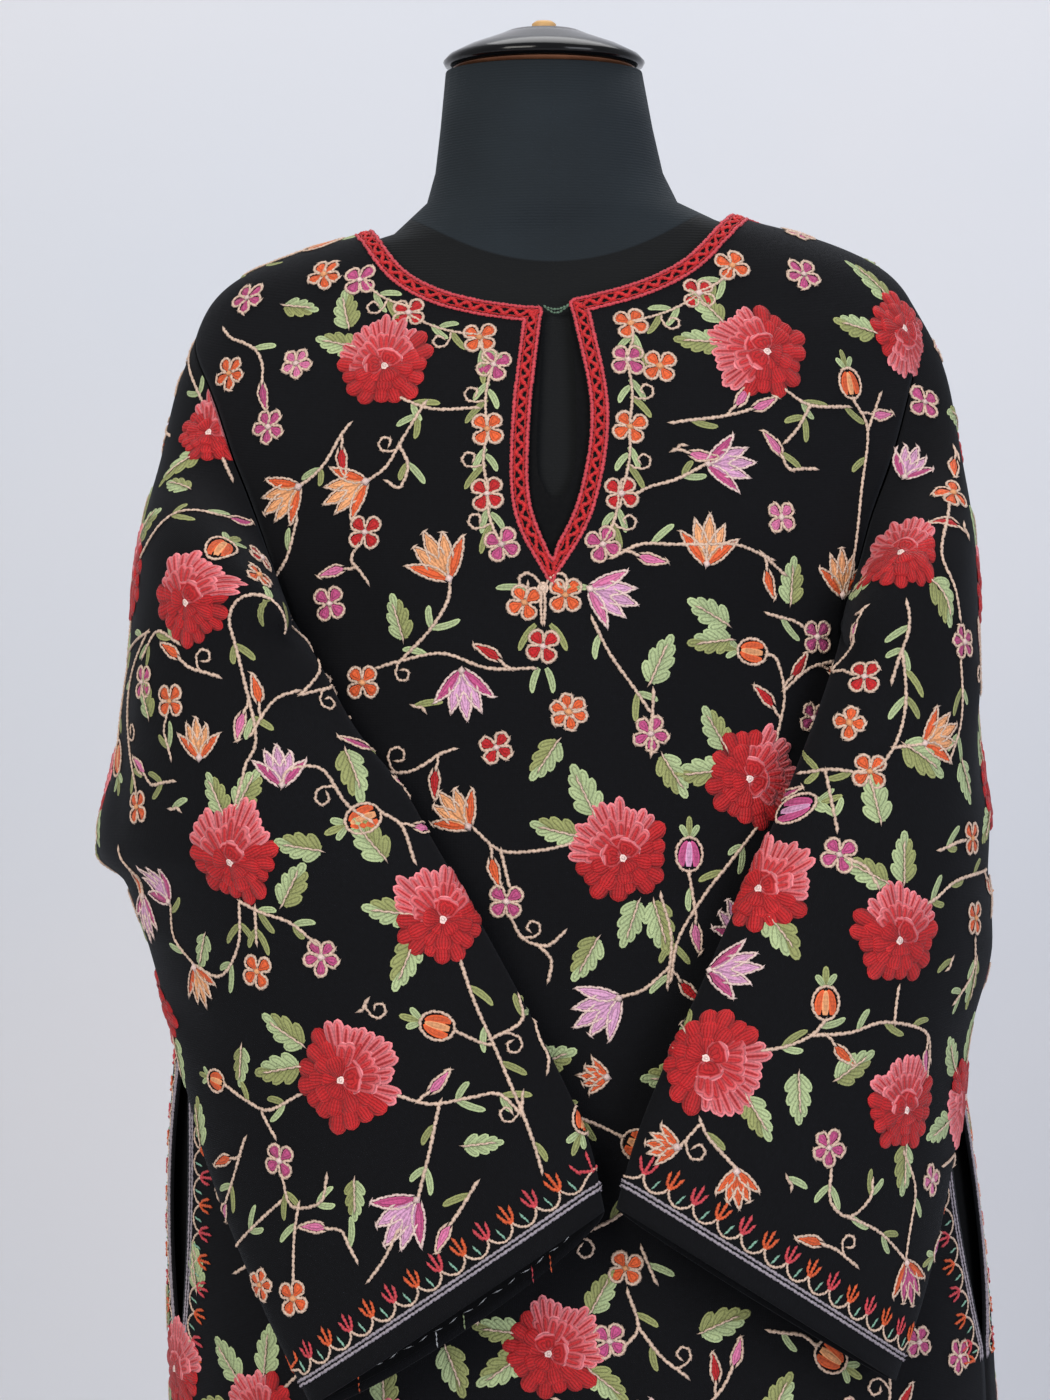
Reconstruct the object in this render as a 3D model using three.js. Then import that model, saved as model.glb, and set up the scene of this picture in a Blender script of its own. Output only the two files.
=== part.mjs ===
// A black embroidered pheran, a loose long-sleeved tunic, worn by a limbless dress form on a stand.
// Units are millimetres and +Z is up. The front faces -Y, and "right" is the wearer's right (-X).
// The origin is on the floor, at the middle of the stand's base.
//
// Each cloth piece is a thin wall. Its outer skin is a surface worked out from the tables of sections
// below, and its inner skin is the same surface let in by one wall along the surface's own normal.
import * as THREE from "three";

const deg = THREE.MathUtils.degToRad;
const V = (x, y, z) => new THREE.Vector3(x, y, z);

// ---------- driving dimensions ----------
const wall = 1.2; // thickness of the cloth
const seam = 0.4; // gap between two pieces at a seam
const hemHeight = 290;
const underarmHeight = 1128;
const sideSeamAngle = { hem: 74, underarm: 66 }; // degrees round from the centre front
const stand = { baseRadius: 190, baseThick: 8, hubRadius: 26, hubTop: 30, poleRadius: 12.5 };
const form = { bottom: 760, neckTop: 1488, capRadius: 58.5, capTop: 1512, capX: -5 };
const leftShoulder = { rise: 8, broaden: 0.03 }; // the left shoulder sits a little higher and fuller

// The body of the garment, as level sections from the hem to the neck.
const bodySections = [
  { height: 290, halfWidth: 284, front: 158, back: 152, centreX: 20 },
  { height: 500, halfWidth: 266, front: 148, back: 144, centreX: 20 },
  { height: 717, halfWidth: 246, front: 138, back: 136, centreX: 18 },
  { height: 870, halfWidth: 233, front: 132, back: 130, centreX: 10 },
  { height: 1000, halfWidth: 216, front: 129, back: 126, centreX: 4 },
  { height: 1100, halfWidth: 205, front: 127, back: 120, centreX: 0 },
  { height: 1170, halfWidth: 205, front: 126, back: 116, centreX: 0 },
  { height: 1215, halfWidth: 211, front: 123, back: 113, centreX: 0 },
  { height: 1255, halfWidth: 213, front: 114, back: 110, centreX: 0 },
  { height: 1300, halfWidth: 212, front: 99, back: 102, centreX: 0 },
  { height: 1325, halfWidth: 209, front: 88, back: 93, centreX: 0 },
  { height: 1342, halfWidth: 204, front: 78, back: 84, centreX: 0 },
  { height: 1356, halfWidth: 196, front: 71, back: 74, centreX: 0 },
  { height: 1367, halfWidth: 184, front: 66, back: 66, centreX: 0 },
  { height: 1377, halfWidth: 165, front: 62, back: 59, centreX: 0 },
  { height: 1386, halfWidth: 140, front: 60, back: 53, centreX: 0 },
  { height: 1393, halfWidth: 113, front: 61, back: 51, centreX: 0 },
  { height: 1398, halfWidth: 96, front: 63, back: 52, centreX: 0 },
];

// Folds that run down to the hem: the angle round from the centre front (+ is the wearer's left),
// the fold's half width in degrees, how far it stands out at the hem, and the height it starts at.
const skirtFolds = [
  { angle: -58, width: 8, lift: 17, top: 820 },
  { angle: -34, width: 7, lift: 15, top: 760 },
  { angle: -12, width: 6, lift: 13, top: 800 },
  { angle: 11, width: 4.5, lift: 19, top: 1000 },
  { angle: 31, width: 7, lift: 15, top: 780 },
  { angle: 55, width: 8, lift: 18, top: 840 },
  { angle: 96, width: 9, lift: 14, top: 700 },
  { angle: 124, width: 8, lift: 18, top: 900 },
  { angle: 152, width: 8, lift: 16, top: 820 },
  { angle: 178, width: 7, lift: 19, top: 960 },
  { angle: -155, width: 8, lift: 15, top: 800 },
  { angle: -128, width: 8, lift: 18, top: 880 },
  { angle: -98, width: 9, lift: 14, top: 720 },
];

// The armholes, from the shoulder tip (0) to the underarm (1): height and angle from the centre front.
const armholeFront = {
  right: [
    { at: 0, height: 1342, angle: 90 },
    { at: 0.17, height: 1304, angle: 68 },
    { at: 0.33, height: 1257, angle: 57 },
    { at: 0.5, height: 1225, angle: 51.5 },
    { at: 0.66, height: 1191, angle: 47.8 },
    { at: 0.8, height: 1160, angle: 45.5 },
    { at: 0.9, height: 1136, angle: 50 },
    { at: 1, height: 1128, angle: 66 },
  ],
  left: [
    { at: 0, height: 1361, angle: 90 },
    { at: 0.17, height: 1306, angle: 73 },
    { at: 0.33, height: 1262, angle: 64 },
    { at: 0.5, height: 1228, angle: 57.5 },
    { at: 0.66, height: 1196, angle: 54.5 },
    { at: 0.8, height: 1162, angle: 52 },
    { at: 0.9, height: 1137, angle: 55 },
    { at: 1, height: 1128, angle: 66 },
  ],
};
const armholeBack = {
  right: [
    { at: 0, height: 1342, angle: 90 },
    { at: 0.18, height: 1300, angle: 106 },
    { at: 0.36, height: 1256, angle: 112 },
    { at: 0.55, height: 1214, angle: 114 },
    { at: 0.72, height: 1178, angle: 111 },
    { at: 0.87, height: 1146, angle: 98 },
    { at: 1, height: 1128, angle: 66 },
  ],
  left: [
    { at: 0, height: 1361, angle: 90 },
    { at: 0.18, height: 1308, angle: 106 },
    { at: 0.36, height: 1258, angle: 112 },
    { at: 0.55, height: 1214, angle: 114 },
    { at: 0.72, height: 1178, angle: 111 },
    { at: 0.87, height: 1146, angle: 98 },
    { at: 1, height: 1128, angle: 66 },
  ],
};

// The front's inner edge, from the bottom of the neck slit up its side and round the neckline.
// "x" is the distance from the centre front, and the last row is the neck point on the shoulder.
const slitAndNeck = {
  right: [
    { at: 0, x: 2, height: 1203 },
    { at: 0.13, x: 13, height: 1236 },
    { at: 0.3, x: 12.5, height: 1284 },
    { at: 0.48, x: 7, height: 1333 },
    { at: 0.53, x: 6.5, height: 1342 },
    { at: 0.58, x: 18, height: 1344 },
    { at: 0.68, x: 42, height: 1349 },
    { at: 0.78, x: 66, height: 1357 },
    { at: 0.88, x: 86, height: 1370 },
    { at: 1, x: 104, height: 1395.5 },
  ],
  left: [
    { at: 0, x: -2, height: 1203 },
    { at: 0.13, x: 13, height: 1236 },
    { at: 0.3, x: 20, height: 1283 },
    { at: 0.48, x: 11, height: 1334 },
    { at: 0.53, x: 9, height: 1345 },
    { at: 0.58, x: 20, height: 1348 },
    { at: 0.68, x: 42, height: 1353 },
    { at: 0.78, x: 61, height: 1360 },
    { at: 0.88, x: 78, height: 1371 },
    { at: 1, x: 100, height: 1396.5 },
  ],
};
const backNeck = [
  { at: 0, angle: 180, height: 1380 },
  { at: 0.35, angle: 150, height: 1382 },
  { at: 0.7, angle: 118, height: 1389 },
  { at: 1, angle: 90, height: 1395.5 },
];

// Slit pockets in the side seams: how far the two edges gape, in degrees either side of the seam.
// The bag behind each reaches as far round as bagReach, lies bagLie under the outer skin, and sinks in
// by bagDepth at its middle.
const pocket = {
  top: 936,
  bottom: 758,
  gape: { right: 4.6, left: 6 },
  bagReach: 13,
  bagRise: 16,
  bagDepth: 7,
  bagLie: wall + 3,
};

// The sleeves are wide tubes that hang to the elbow and cross the front, drawn as flattened loops.
// Each row is one loop: its outer end (the fold along the overarm), its inner end (the fold along the
// underarm), the way it faces in degrees out from the front, how far its middle bows out, and half of
// its thickness. "out" is the distance from the centre towards the sleeve's own side.
const sleeveLoops = {
  right: [
    { at: 0, outOuter: 204, yOuter: 2, zOuter: 1342, outInner: 196, yInner: -35, zInner: 1150, facing: 0, bow: 0, half: 68 },
    { at: 0.1, outOuter: 216, yOuter: 8, zOuter: 1300, outInner: 161, yInner: -113, zInner: 1172, facing: 26, bow: 20, half: 41 },
    { at: 0.2, outOuter: 220, yOuter: 12, zOuter: 1232, outInner: 137, yInner: -124, zInner: 1150, facing: 44, bow: 28, half: 33 },
    { at: 0.32, outOuter: 234, yOuter: 10, zOuter: 1150, outInner: 110, yInner: -132, zInner: 1108, facing: 43, bow: 38, half: 29 },
    { at: 0.43, outOuter: 251, yOuter: 2, zOuter: 1080, outInner: 83, yInner: -139, zInner: 1076, facing: 37, bow: 40, half: 25 },
    { at: 0.5, outOuter: 262, yOuter: -4, zOuter: 1036, outInner: 66, yInner: -143, zInner: 1047, facing: 34, bow: 38, half: 22 },
    { at: 0.545, outOuter: 243, yOuter: -18, zOuter: 1018, outInner: 54, yInner: -146, zInner: 1027, facing: 32, bow: 36, half: 20 },
    { at: 0.65, outOuter: 219, yOuter: -50, zOuter: 950, outInner: 30, yInner: -150, zInner: 985, facing: 27, bow: 30, half: 17 },
    { at: 0.78, outOuter: 194, yOuter: -88, zOuter: 868, outInner: 2, yInner: -155, zInner: 932, facing: 20, bow: 22, half: 15 },
    { at: 0.9, outOuter: 160, yOuter: -126, zOuter: 792, outInner: -18, yInner: -159, zInner: 888, facing: 11, bow: 14, half: 14 },
    { at: 1, outOuter: 132, yOuter: -150, zOuter: 742, outInner: -27, yInner: -162, zInner: 849, facing: 5, bow: 9, half: 13 },
  ],
  left: [
    { at: 0, outOuter: 204, yOuter: 2, zOuter: 1342, outInner: 196, yInner: -35, zInner: 1150, facing: 0, bow: 0, half: 68 },
    { at: 0.1, outOuter: 221, yOuter: 8, zOuter: 1308, outInner: 172, yInner: -96, zInner: 1165, facing: 26, bow: 15, half: 44 },
    { at: 0.2, outOuter: 224, yOuter: 12, zOuter: 1242, outInner: 158, yInner: -113, zInner: 1140, facing: 40, bow: 26, half: 33 },
    { at: 0.32, outOuter: 231, yOuter: 10, zOuter: 1160, outInner: 142, yInner: -123, zInner: 1104, facing: 40, bow: 34, half: 29 },
    { at: 0.43, outOuter: 238, yOuter: 2, zOuter: 1090, outInner: 124, yInner: -124, zInner: 1062, facing: 37, bow: 38, half: 26 },
    { at: 0.52, outOuter: 247, yOuter: -6, zOuter: 1032, outInner: 108, yInner: -132, zInner: 1028, facing: 34, bow: 38, half: 24 },
    { at: 0.6, outOuter: 248, yOuter: -22, zOuter: 978, outInner: 94, yInner: -139, zInner: 1000, facing: 31, bow: 36, half: 22 },
    { at: 0.67, outOuter: 236, yOuter: -42, zOuter: 934, outInner: 82, yInner: -145, zInner: 974, facing: 28, bow: 32, half: 19 },
    { at: 0.78, outOuter: 225, yOuter: -66, zOuter: 866, outInner: 62, yInner: -153, zInner: 932, facing: 22, bow: 26, half: 16 },
    { at: 0.9, outOuter: 207, yOuter: -96, zOuter: 798, outInner: 44, yInner: -159, zInner: 888, facing: 16, bow: 20, half: 14 },
    { at: 1, outOuter: 188, yOuter: -118, zOuter: 750, outInner: 33, yInner: -163, zInner: 851, facing: 11, bow: 16, half: 13 },
  ],
};
const armholeCentre = { out: 160, y: -5, z: 1246 };
const capBlend = 0.2; // share of the sleeve over which its loops leave the armhole's own curve
const cuffDrop = { right: 15, left: 4 }; // how much lower the back of the cuff hangs than its front
// The cuff's facing: shares of the sleeve's length, and degrees round the loop.
const cuffFacing = { from: 0.955, to: 0.992, turnFrom: 205, turnTo: 335, lie: wall + seam };
const slitFacingLie = wall + 1.2; // how far under the front's outer skin the slit's facing lies

// ---------- numbers between the rows of a table ----------
// A smooth curve through one column of a table, as a function of another column.
function between(table, key, column, x) {
  const last = table.length - 1;
  let i = 0;
  while (i < last - 1 && x > table[i + 1][key]) i += 1;
  const a = table[i];
  const b = table[i + 1];
  const slope = (p, q) => (q[column] - p[column]) / (q[key] - p[key]);
  const here = slope(a, b);
  const before = i > 0 ? slope(table[i - 1], b) : here;
  const after = i + 2 <= last ? slope(a, table[i + 2]) : here;
  const span = b[key] - a[key];
  const t = THREE.MathUtils.clamp((x - a[key]) / span, 0, 1);
  const t2 = t * t;
  const t3 = t2 * t;
  return (
    (2 * t3 - 3 * t2 + 1) * a[column] +
    (t3 - 2 * t2 + t) * span * before +
    (3 * t2 - 2 * t3) * b[column] +
    (t3 - t2) * span * after
  );
}

const lerp = THREE.MathUtils.lerp;
const ease = (x, low, high) => THREE.MathUtils.smoothstep(x, low, high);

// ---------- the surface of the garment's body ----------
// angle is in degrees round from the centre front, + towards the wearer's left.
function foldLift(angle, height) {
  let lift = 0;
  for (const fold of skirtFolds) {
    const away = THREE.MathUtils.euclideanModulo(angle - fold.angle + 180, 360) - 180;
    const grown = 1 - ease(height, hemHeight, fold.top);
    lift += fold.lift * grown * (Math.exp(-((away / fold.width) ** 2)) - 0.25);
  }
  return lift;
}

function bodySurface(angle, height) {
  const turn = deg(angle);
  const wide = between(bodySections, "height", "halfWidth", height);
  const deep = between(bodySections, "height", Math.cos(turn) >= 0 ? "front" : "back", height);
  const middle = between(bodySections, "height", "centreX", height);
  const lift = foldLift(angle, height);
  const leftward = ease(Math.sin(turn), -0.4, 0.6) * ease(height, 1230, 1350);
  const wider = 1 + leftShoulder.broaden * leftward * Math.sin(turn);
  return V(
    middle + (wide * wider + lift) * Math.sin(turn),
    -(deep + lift) * Math.cos(turn),
    height + leftShoulder.rise * leftward,
  );
}

// A point on a surface(u, v), let in by "inset" along the outward normal. The steps are for the slopes.
function skin(surface, u, v, inset, stepU, stepV) {
  const here = surface(u, v);
  const alongU = surface(u + stepU, v).sub(surface(u - stepU, v));
  const alongV = surface(u, v + stepV).sub(surface(u, v - stepV));
  return here.addScaledVector(alongU.cross(alongV).normalize(), -inset);
}
const bodySkin = (angle, height, inset) => skin(bodySurface, angle, height, inset, 0.5, 0.5);

// The angle at which the body's surface is at distance x from the centre front, at some height.
function angleAcross(x, height) {
  const wide = between(bodySections, "height", "halfWidth", height);
  return THREE.MathUtils.radToDeg(Math.asin(THREE.MathUtils.clamp(x / wide, -1, 1)));
}

// ---------- cloth walls ----------
// Makes a closed wall from a list of skin points {outer, inner} and a list of four-sided faces.
function clothWall(name, points, faces, material) {
  const count = points.length;
  const position = [];
  for (const side of ["outer", "inner"]) {
    for (const p of points) position.push(p[side].x, p[side].y, p[side].z);
  }
  const index = [];
  const edges = new Map();
  for (const face of faces) {
    const corners = face.filter((v, i) => v !== face[(i + 1) % face.length]);
    for (let i = 1; i + 1 < corners.length; i += 1) {
      index.push(corners[0], corners[i], corners[i + 1]);
      index.push(count + corners[0], count + corners[i + 1], count + corners[i]);
    }
    corners.forEach((from, i) => {
      const to = corners[(i + 1) % corners.length];
      const back = `${to},${from}`;
      if (edges.has(back)) edges.delete(back);
      else edges.set(`${from},${to}`, [from, to]);
    });
  }
  for (const [from, to] of edges.values()) {
    index.push(to, from, count + from);
    index.push(to, count + from, count + to);
  }
  const geometry = new THREE.BufferGeometry();
  geometry.setAttribute("position", new THREE.Float32BufferAttribute(position, 3));
  geometry.setIndex(index);
  geometry.computeVertexNormals();
  const mesh = new THREE.Mesh(geometry, material);
  mesh.name = name;
  return mesh;
}

// The faces of a grid whose points are numbered by at(row, column). "flip" turns them round.
function gridFaces(rows, columns, at, flip = false) {
  const faces = [];
  for (let r = 0; r < rows; r += 1) {
    for (let c = 0; c < columns; c += 1) {
      const face = [at(r, c), at(r, c + 1), at(r + 1, c + 1), at(r + 1, c)];
      faces.push(flip ? face.reverse() : face);
    }
  }
  return faces;
}

// ---------- front and back panels ----------
const rowsBelowArm = 16;
const rowsAtArm = 14; // the sleeve has as many columns on its front, and as many on its back
const slitRow = rowsBelowArm + 1; // the row at the bottom of the slit
const backNeckRow = slitRow + 6;
const shoulderGap = 0.25; // degrees either side of the shoulder line
const sideSeamGap = seam / 2 / 2.4; // half the seam in degrees, at 2.4 mm a degree
const crowding = { armhole: 1.35, neck: 1.2, across: 0.85 }; // 1 would space rows or columns evenly
const sides = { right: -1, left: 1 };

// The armhole's rows stand closer together towards the shoulder, where the cloth bends most.
const armShare = (step) => (step / rowsAtArm) ** crowding.armhole;

function seamAngle(height) {
  return lerp(sideSeamAngle.hem, sideSeamAngle.underarm, ease(height, pocket.top, underarmHeight));
}

// The side edge of a panel: the side seam, opened at the pocket, and then the armhole.
function outerEdge(side, panel, row) {
  const away = panel === "front" ? -1 : 1;
  if (row <= rowsBelowArm) {
    const height = lerp(hemHeight, underarmHeight, row / rowsBelowArm);
    const share = THREE.MathUtils.clamp((height - pocket.bottom) / (pocket.top - pocket.bottom), 0, 1);
    const gape = pocket.gape[side] * Math.sin(Math.PI * share) ** 0.8;
    return { angle: seamAngle(height) + away * (sideSeamGap + gape), height };
  }
  const share = armShare(rowsAtArm - (row - rowsBelowArm));
  const table = panel === "front" ? armholeFront[side] : armholeBack[side];
  const topGap = row === rowsBelowArm + rowsAtArm ? away * shoulderGap : 0;
  return {
    angle: between(table, "at", "angle", share) + topGap,
    height: between(table, "at", "height", share),
  };
}

// The inner edge of half a panel: the centre line, and then the slit and neckline, or the back neck.
function innerEdge(side, panel, row) {
  const start = panel === "front" ? slitRow : backNeckRow;
  const startHeight = panel === "front" ? slitAndNeck[side][0].height : backNeck[0].height;
  const middle = panel === "front" ? 0 : 180;
  const rows = rowsBelowArm + rowsAtArm;
  if (row <= rowsBelowArm) {
    return { angle: middle, height: lerp(hemHeight, underarmHeight, row / rowsBelowArm) };
  }
  if (row < start) {
    const share = (row - rowsBelowArm) / (start - rowsBelowArm);
    return { angle: middle, height: lerp(underarmHeight, startHeight, share) };
  }
  const at = 1 - (1 - (row - start) / (rows - start)) ** crowding.neck;
  const topGap = row === rows ? shoulderGap : 0;
  if (panel === "back") {
    return {
      angle: between(backNeck, "at", "angle", at) + topGap,
      height: between(backNeck, "at", "height", at),
    };
  }
  if (row === start) return { angle: middle, height: startHeight };
  const height = between(slitAndNeck[side], "at", "height", at);
  const across = angleAcross(between(slitAndNeck[side], "at", "x", at), height);
  return { angle: row === rows ? 90 - topGap : across, height };
}

// At the armhole the panels and the sleeve share one direction for their inner skins, as a mitre.
function armholeInset(point, side) {
  const centre = V(sides[side] * armholeCentre.out, armholeCentre.y, armholeCentre.z);
  return point.clone().addScaledVector(centre.sub(point).normalize(), wall);
}

function panelMesh(panel, columns, material) {
  const points = [];
  const number = new Map();
  const rows = rowsBelowArm + rowsAtArm;
  const faces = [];
  for (const side of ["right", "left"]) {
    for (let r = 0; r <= rows; r += 1) {
      const outer = outerEdge(side, panel, r);
      const inner = innerEdge(side, panel, r);
      const shared = r <= (panel === "back" ? backNeckRow : slitRow);
      for (let c = 0; c <= columns; c += 1) {
        const key = c === columns && shared ? `middle,${r}` : `${side},${r},${c}`;
        if (!number.has(key)) {
          const share = (c / columns) ** crowding.across;
          const angle = sides[side] * lerp(outer.angle, inner.angle, share);
          const height = lerp(outer.height, inner.height, share);
          const at = bodySkin(angle, height, 0);
          const mitred = c === 0 && r >= rowsBelowArm;
          const under = mitred ? armholeInset(at, side) : bodySkin(angle, height, wall);
          number.set(key, points.length);
          points.push({ outer: at, inner: under });
        }
        number.set(`${side},${r},${c}`, number.get(key));
      }
    }
    const at = (r, c) => number.get(`${side},${r},${c}`);
    faces.push(...gridFaces(rows, columns, at, (side === "left") !== (panel === "back")));
  }
  return clothWall(`${panel}_panel`, points, faces, material);
}

// ---------- sleeves ----------
// share runs from the armhole (0) to the cuff (1), and turn runs round the loop in degrees: 0 is the
// overarm fold, 90 the middle of the front, 180 the underarm fold and 270 the middle of the back.
function loopPoint(side, share, turn) {
  const loop = {};
  for (const name of Object.keys(sleeveLoops[side][0])) {
    if (name !== "at") loop[name] = between(sleeveLoops[side], "at", name, share);
  }
  const cos = Math.cos(deg(turn));
  const sin = Math.sin(deg(turn));
  const out = lerp(loop.outInner, loop.outOuter, (1 + cos) / 2);
  const y = lerp(loop.yInner, loop.yOuter, (1 + cos) / 2);
  const z = lerp(loop.zInner, loop.zOuter, (1 + cos) / 2);
  const push = loop.bow * sin * sin + loop.half * sin;
  const facing = deg(loop.facing);
  return V(sides[side] * (out + push * Math.sin(facing)), y - push * Math.cos(facing), z);
}

function armholePoint(side, turn) {
  const onFront = turn <= 180;
  const share = onFront ? turn / 180 : (360 - turn) / 180;
  const table = onFront ? armholeFront[side] : armholeBack[side];
  return bodySurface(sides[side] * between(table, "at", "angle", share), between(table, "at", "height", share));
}

function sleeveSurface(side, share, turn) {
  const wrapped = THREE.MathUtils.euclideanModulo(turn, 360);
  const point = loopPoint(side, share, wrapped);
  const stay = 1 - ease(share, 0, capBlend);
  if (stay > 0) {
    point.add(armholePoint(side, wrapped).sub(loopPoint(side, 0, wrapped)).multiplyScalar(stay));
  }
  const backHang = Math.max(0, -Math.sin(deg(wrapped)));
  point.z -= cuffDrop[side] * backHang * ease(share, 0.8, 1);
  return point;
}

const sleeveRows = 24;
const sleeveStart = 0.003; // leaves the seam's gap
function sleeveSkin(side, share, turn, inset) {
  const way = sides[side];
  return skin((u, v) => sleeveSurface(side, v, u), turn, share, way * inset, 0.5, 0.002);
}

function sleeveMesh(side, material) {
  const points = [];
  const around = 2 * rowsAtArm;
  for (let r = 0; r <= sleeveRows; r += 1) {
    const share = r === 0 ? sleeveStart : r / sleeveRows;
    for (let c = 0; c < around; c += 1) {
      const turn = c <= rowsAtArm ? 180 * armShare(c) : 360 - 180 * armShare(around - c);
      const outer = sleeveSkin(side, share, turn, 0);
      const inner = r === 0 ? armholeInset(outer, side) : sleeveSkin(side, share, turn, wall);
      points.push({ outer, inner });
    }
  }
  const at = (r, c) => r * around + (c % around);
  return clothWall(`sleeve_${side}`, points, gridFaces(sleeveRows, around, at, side === "right"), material);
}

// ---------- small pieces that show inside the openings ----------
// The cuff's facing lies on the inside of the back of the sleeve's mouth.
function cuffFacingMesh(side, material) {
  const points = [];
  const rows = 2;
  const columns = 10;
  const { lie } = cuffFacing;
  for (let r = 0; r <= rows; r += 1) {
    const share = lerp(cuffFacing.from, cuffFacing.to, r / rows);
    for (let c = 0; c <= columns; c += 1) {
      const turn = lerp(cuffFacing.turnFrom, cuffFacing.turnTo, c / columns);
      points.push({
        outer: sleeveSkin(side, share, turn, lie),
        inner: sleeveSkin(side, share, turn, lie + wall),
      });
    }
  }
  const at = (r, c) => r * (columns + 1) + c;
  return clothWall(`cuff_facing_${side}`, points, gridFaces(rows, columns, at, side === "right"), material);
}

// The slit's facing is a narrow strip in the shape of a U, under the front panel.
const facingEdge = [
  { at: 0, x: -6, height: 1341 },
  { at: 0.2, x: -8, height: 1300 },
  { at: 0.4, x: -9, height: 1250 },
  { at: 0.5, x: 1, height: 1236 },
  { at: 0.6, x: 11, height: 1250 },
  { at: 0.8, x: 12, height: 1300 },
  { at: 1, x: 8, height: 1346 },
];
const facingOuter = [
  { at: 0, x: -24, height: 1342 },
  { at: 0.2, x: -27, height: 1298 },
  { at: 0.4, x: -26, height: 1236 },
  { at: 0.5, x: 0, height: 1192 },
  { at: 0.6, x: 28, height: 1236 },
  { at: 0.8, x: 32, height: 1298 },
  { at: 1, x: 26, height: 1347 },
];
function slitFacingMesh(material) {
  const points = [];
  const rows = 20;
  const columns = 2;
  for (let r = 0; r <= rows; r += 1) {
    for (let c = 0; c <= columns; c += 1) {
      const spot = {};
      for (const name of ["x", "height"]) {
        const inner = between(facingEdge, "at", name, r / rows);
        const outer = between(facingOuter, "at", name, r / rows);
        spot[name] = lerp(inner, outer, c / columns);
      }
      const angle = angleAcross(spot.x, spot.height);
      points.push({
        outer: bodySkin(angle, spot.height, slitFacingLie),
        inner: bodySkin(angle, spot.height, slitFacingLie + wall),
      });
    }
  }
  const at = (r, c) => r * (columns + 1) + c;
  return clothWall("slit_facing", points, gridFaces(rows, columns, at), material);
}

// The pocket bag closes the opening in the side seam from behind, and sinks in a little at its middle.
function pocketBagMesh(side, material) {
  const points = [];
  const rows = 9;
  const columns = 6;
  for (let r = 0; r <= rows; r += 1) {
    const height = lerp(pocket.bottom - pocket.bagRise, pocket.top + pocket.bagRise, r / rows);
    for (let c = 0; c <= columns; c += 1) {
      const angle = sides[side] * (sideSeamAngle.hem + lerp(-pocket.bagReach, pocket.bagReach, c / columns));
      const sunk = pocket.bagDepth * Math.sin((Math.PI * r) / rows) * Math.sin((Math.PI * c) / columns);
      const lie = pocket.bagLie + sunk;
      points.push({ outer: bodySkin(angle, height, lie), inner: bodySkin(angle, height, lie + wall) });
    }
  }
  const at = (r, c) => r * (columns + 1) + c;
  return clothWall(`pocket_bag_${side}`, points, gridFaces(rows, columns, at, side === "right"), material);
}

// ---------- the dress form and its stand ----------
// Below the shoulders the form has its own figure. Its shoulders are the cloth's, let in by one wall.
const shoulderInset = wall + 4.3;
const formFigure = [
  { height: 760, halfWidth: 150, front: 100, back: 106 },
  { height: 772, halfWidth: 160, front: 108, back: 114 },
  { height: 850, halfWidth: 171, front: 112, back: 120 },
  { height: 940, halfWidth: 156, front: 104, back: 104 },
  { height: 1020, halfWidth: 128, front: 92, back: 88 },
  { height: 1100, halfWidth: 140, front: 104, back: 92 },
  { height: 1170, halfWidth: 151, front: 117, back: 97 },
  { height: 1215, halfWidth: 157, front: 117, back: 99 },
  { height: 1255, halfWidth: 163, front: 107, back: 98 },
  { height: 1300, halfWidth: 173, front: 92, back: 93 },
  { height: 1330, halfWidth: 181, front: 79, back: 84 },
  { height: 1348, halfWidth: 182, front: 70, back: 73 },
];
const formNeck = [
  { height: 1412, halfWidth: 73, front: 58, back: 49, centreX: 0 },
  { height: 1430, halfWidth: 66, front: 56, back: 50, centreX: -2 },
  { height: 1456, halfWidth: 61.5, front: 54, back: 50, centreX: -3.5 },
  { height: form.neckTop, halfWidth: 57, front: 51, back: 49, centreX: form.capX },
];
const formShoulderHeights = [1367, 1377, 1386, 1393, 1398];

// One point of a level oval, at an angle round from the front.
function ovalPoint(section, angle) {
  const turn = deg(angle);
  const deep = Math.cos(turn) >= 0 ? section.front : section.back;
  return V((section.centreX ?? 0) + section.halfWidth * Math.sin(turn), -deep * Math.cos(turn), section.height);
}

function formMesh(material) {
  const rings = [
    ...formFigure.map((section) => (angle) => ovalPoint(section, angle)),
    ...formShoulderHeights.map((height) => (angle) => bodySkin(angle, height, shoulderInset)),
    ...formNeck.map((section) => (angle) => ovalPoint(section, angle)),
  ];
  const around = 36;
  const position = [];
  for (const ring of rings) {
    for (let c = 0; c < around; c += 1) position.push(...ring((360 * c) / around).toArray());
  }
  const index = [];
  const at = (r, c) => r * around + (c % around);
  for (let r = 0; r + 1 < rings.length; r += 1) {
    for (let c = 0; c < around; c += 1) {
      index.push(at(r, c), at(r, c + 1), at(r + 1, c + 1));
      index.push(at(r, c), at(r + 1, c + 1), at(r + 1, c));
    }
  }
  for (let c = 1; c + 1 < around; c += 1) {
    index.push(at(0, 0), at(0, c + 1), at(0, c));
    index.push(at(rings.length - 1, 0), at(rings.length - 1, c), at(rings.length - 1, c + 1));
  }
  const geometry = new THREE.BufferGeometry();
  geometry.setAttribute("position", new THREE.Float32BufferAttribute(position, 3));
  geometry.setIndex(index);
  geometry.computeVertexNormals();
  const mesh = new THREE.Mesh(geometry, material);
  mesh.name = "form_torso";
  return mesh;
}

// A piece turned round the pole's axis, from its profile of {r, z} points, bottom to top.
function turned(name, profile, material, segments = 32) {
  const outline = profile.map(({ r, z }) => new THREE.Vector2(r, z));
  const geometry = new THREE.LatheGeometry(outline, segments);
  geometry.rotateX(Math.PI / 2);
  const mesh = new THREE.Mesh(geometry, material);
  mesh.name = name;
  return mesh;
}

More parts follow.
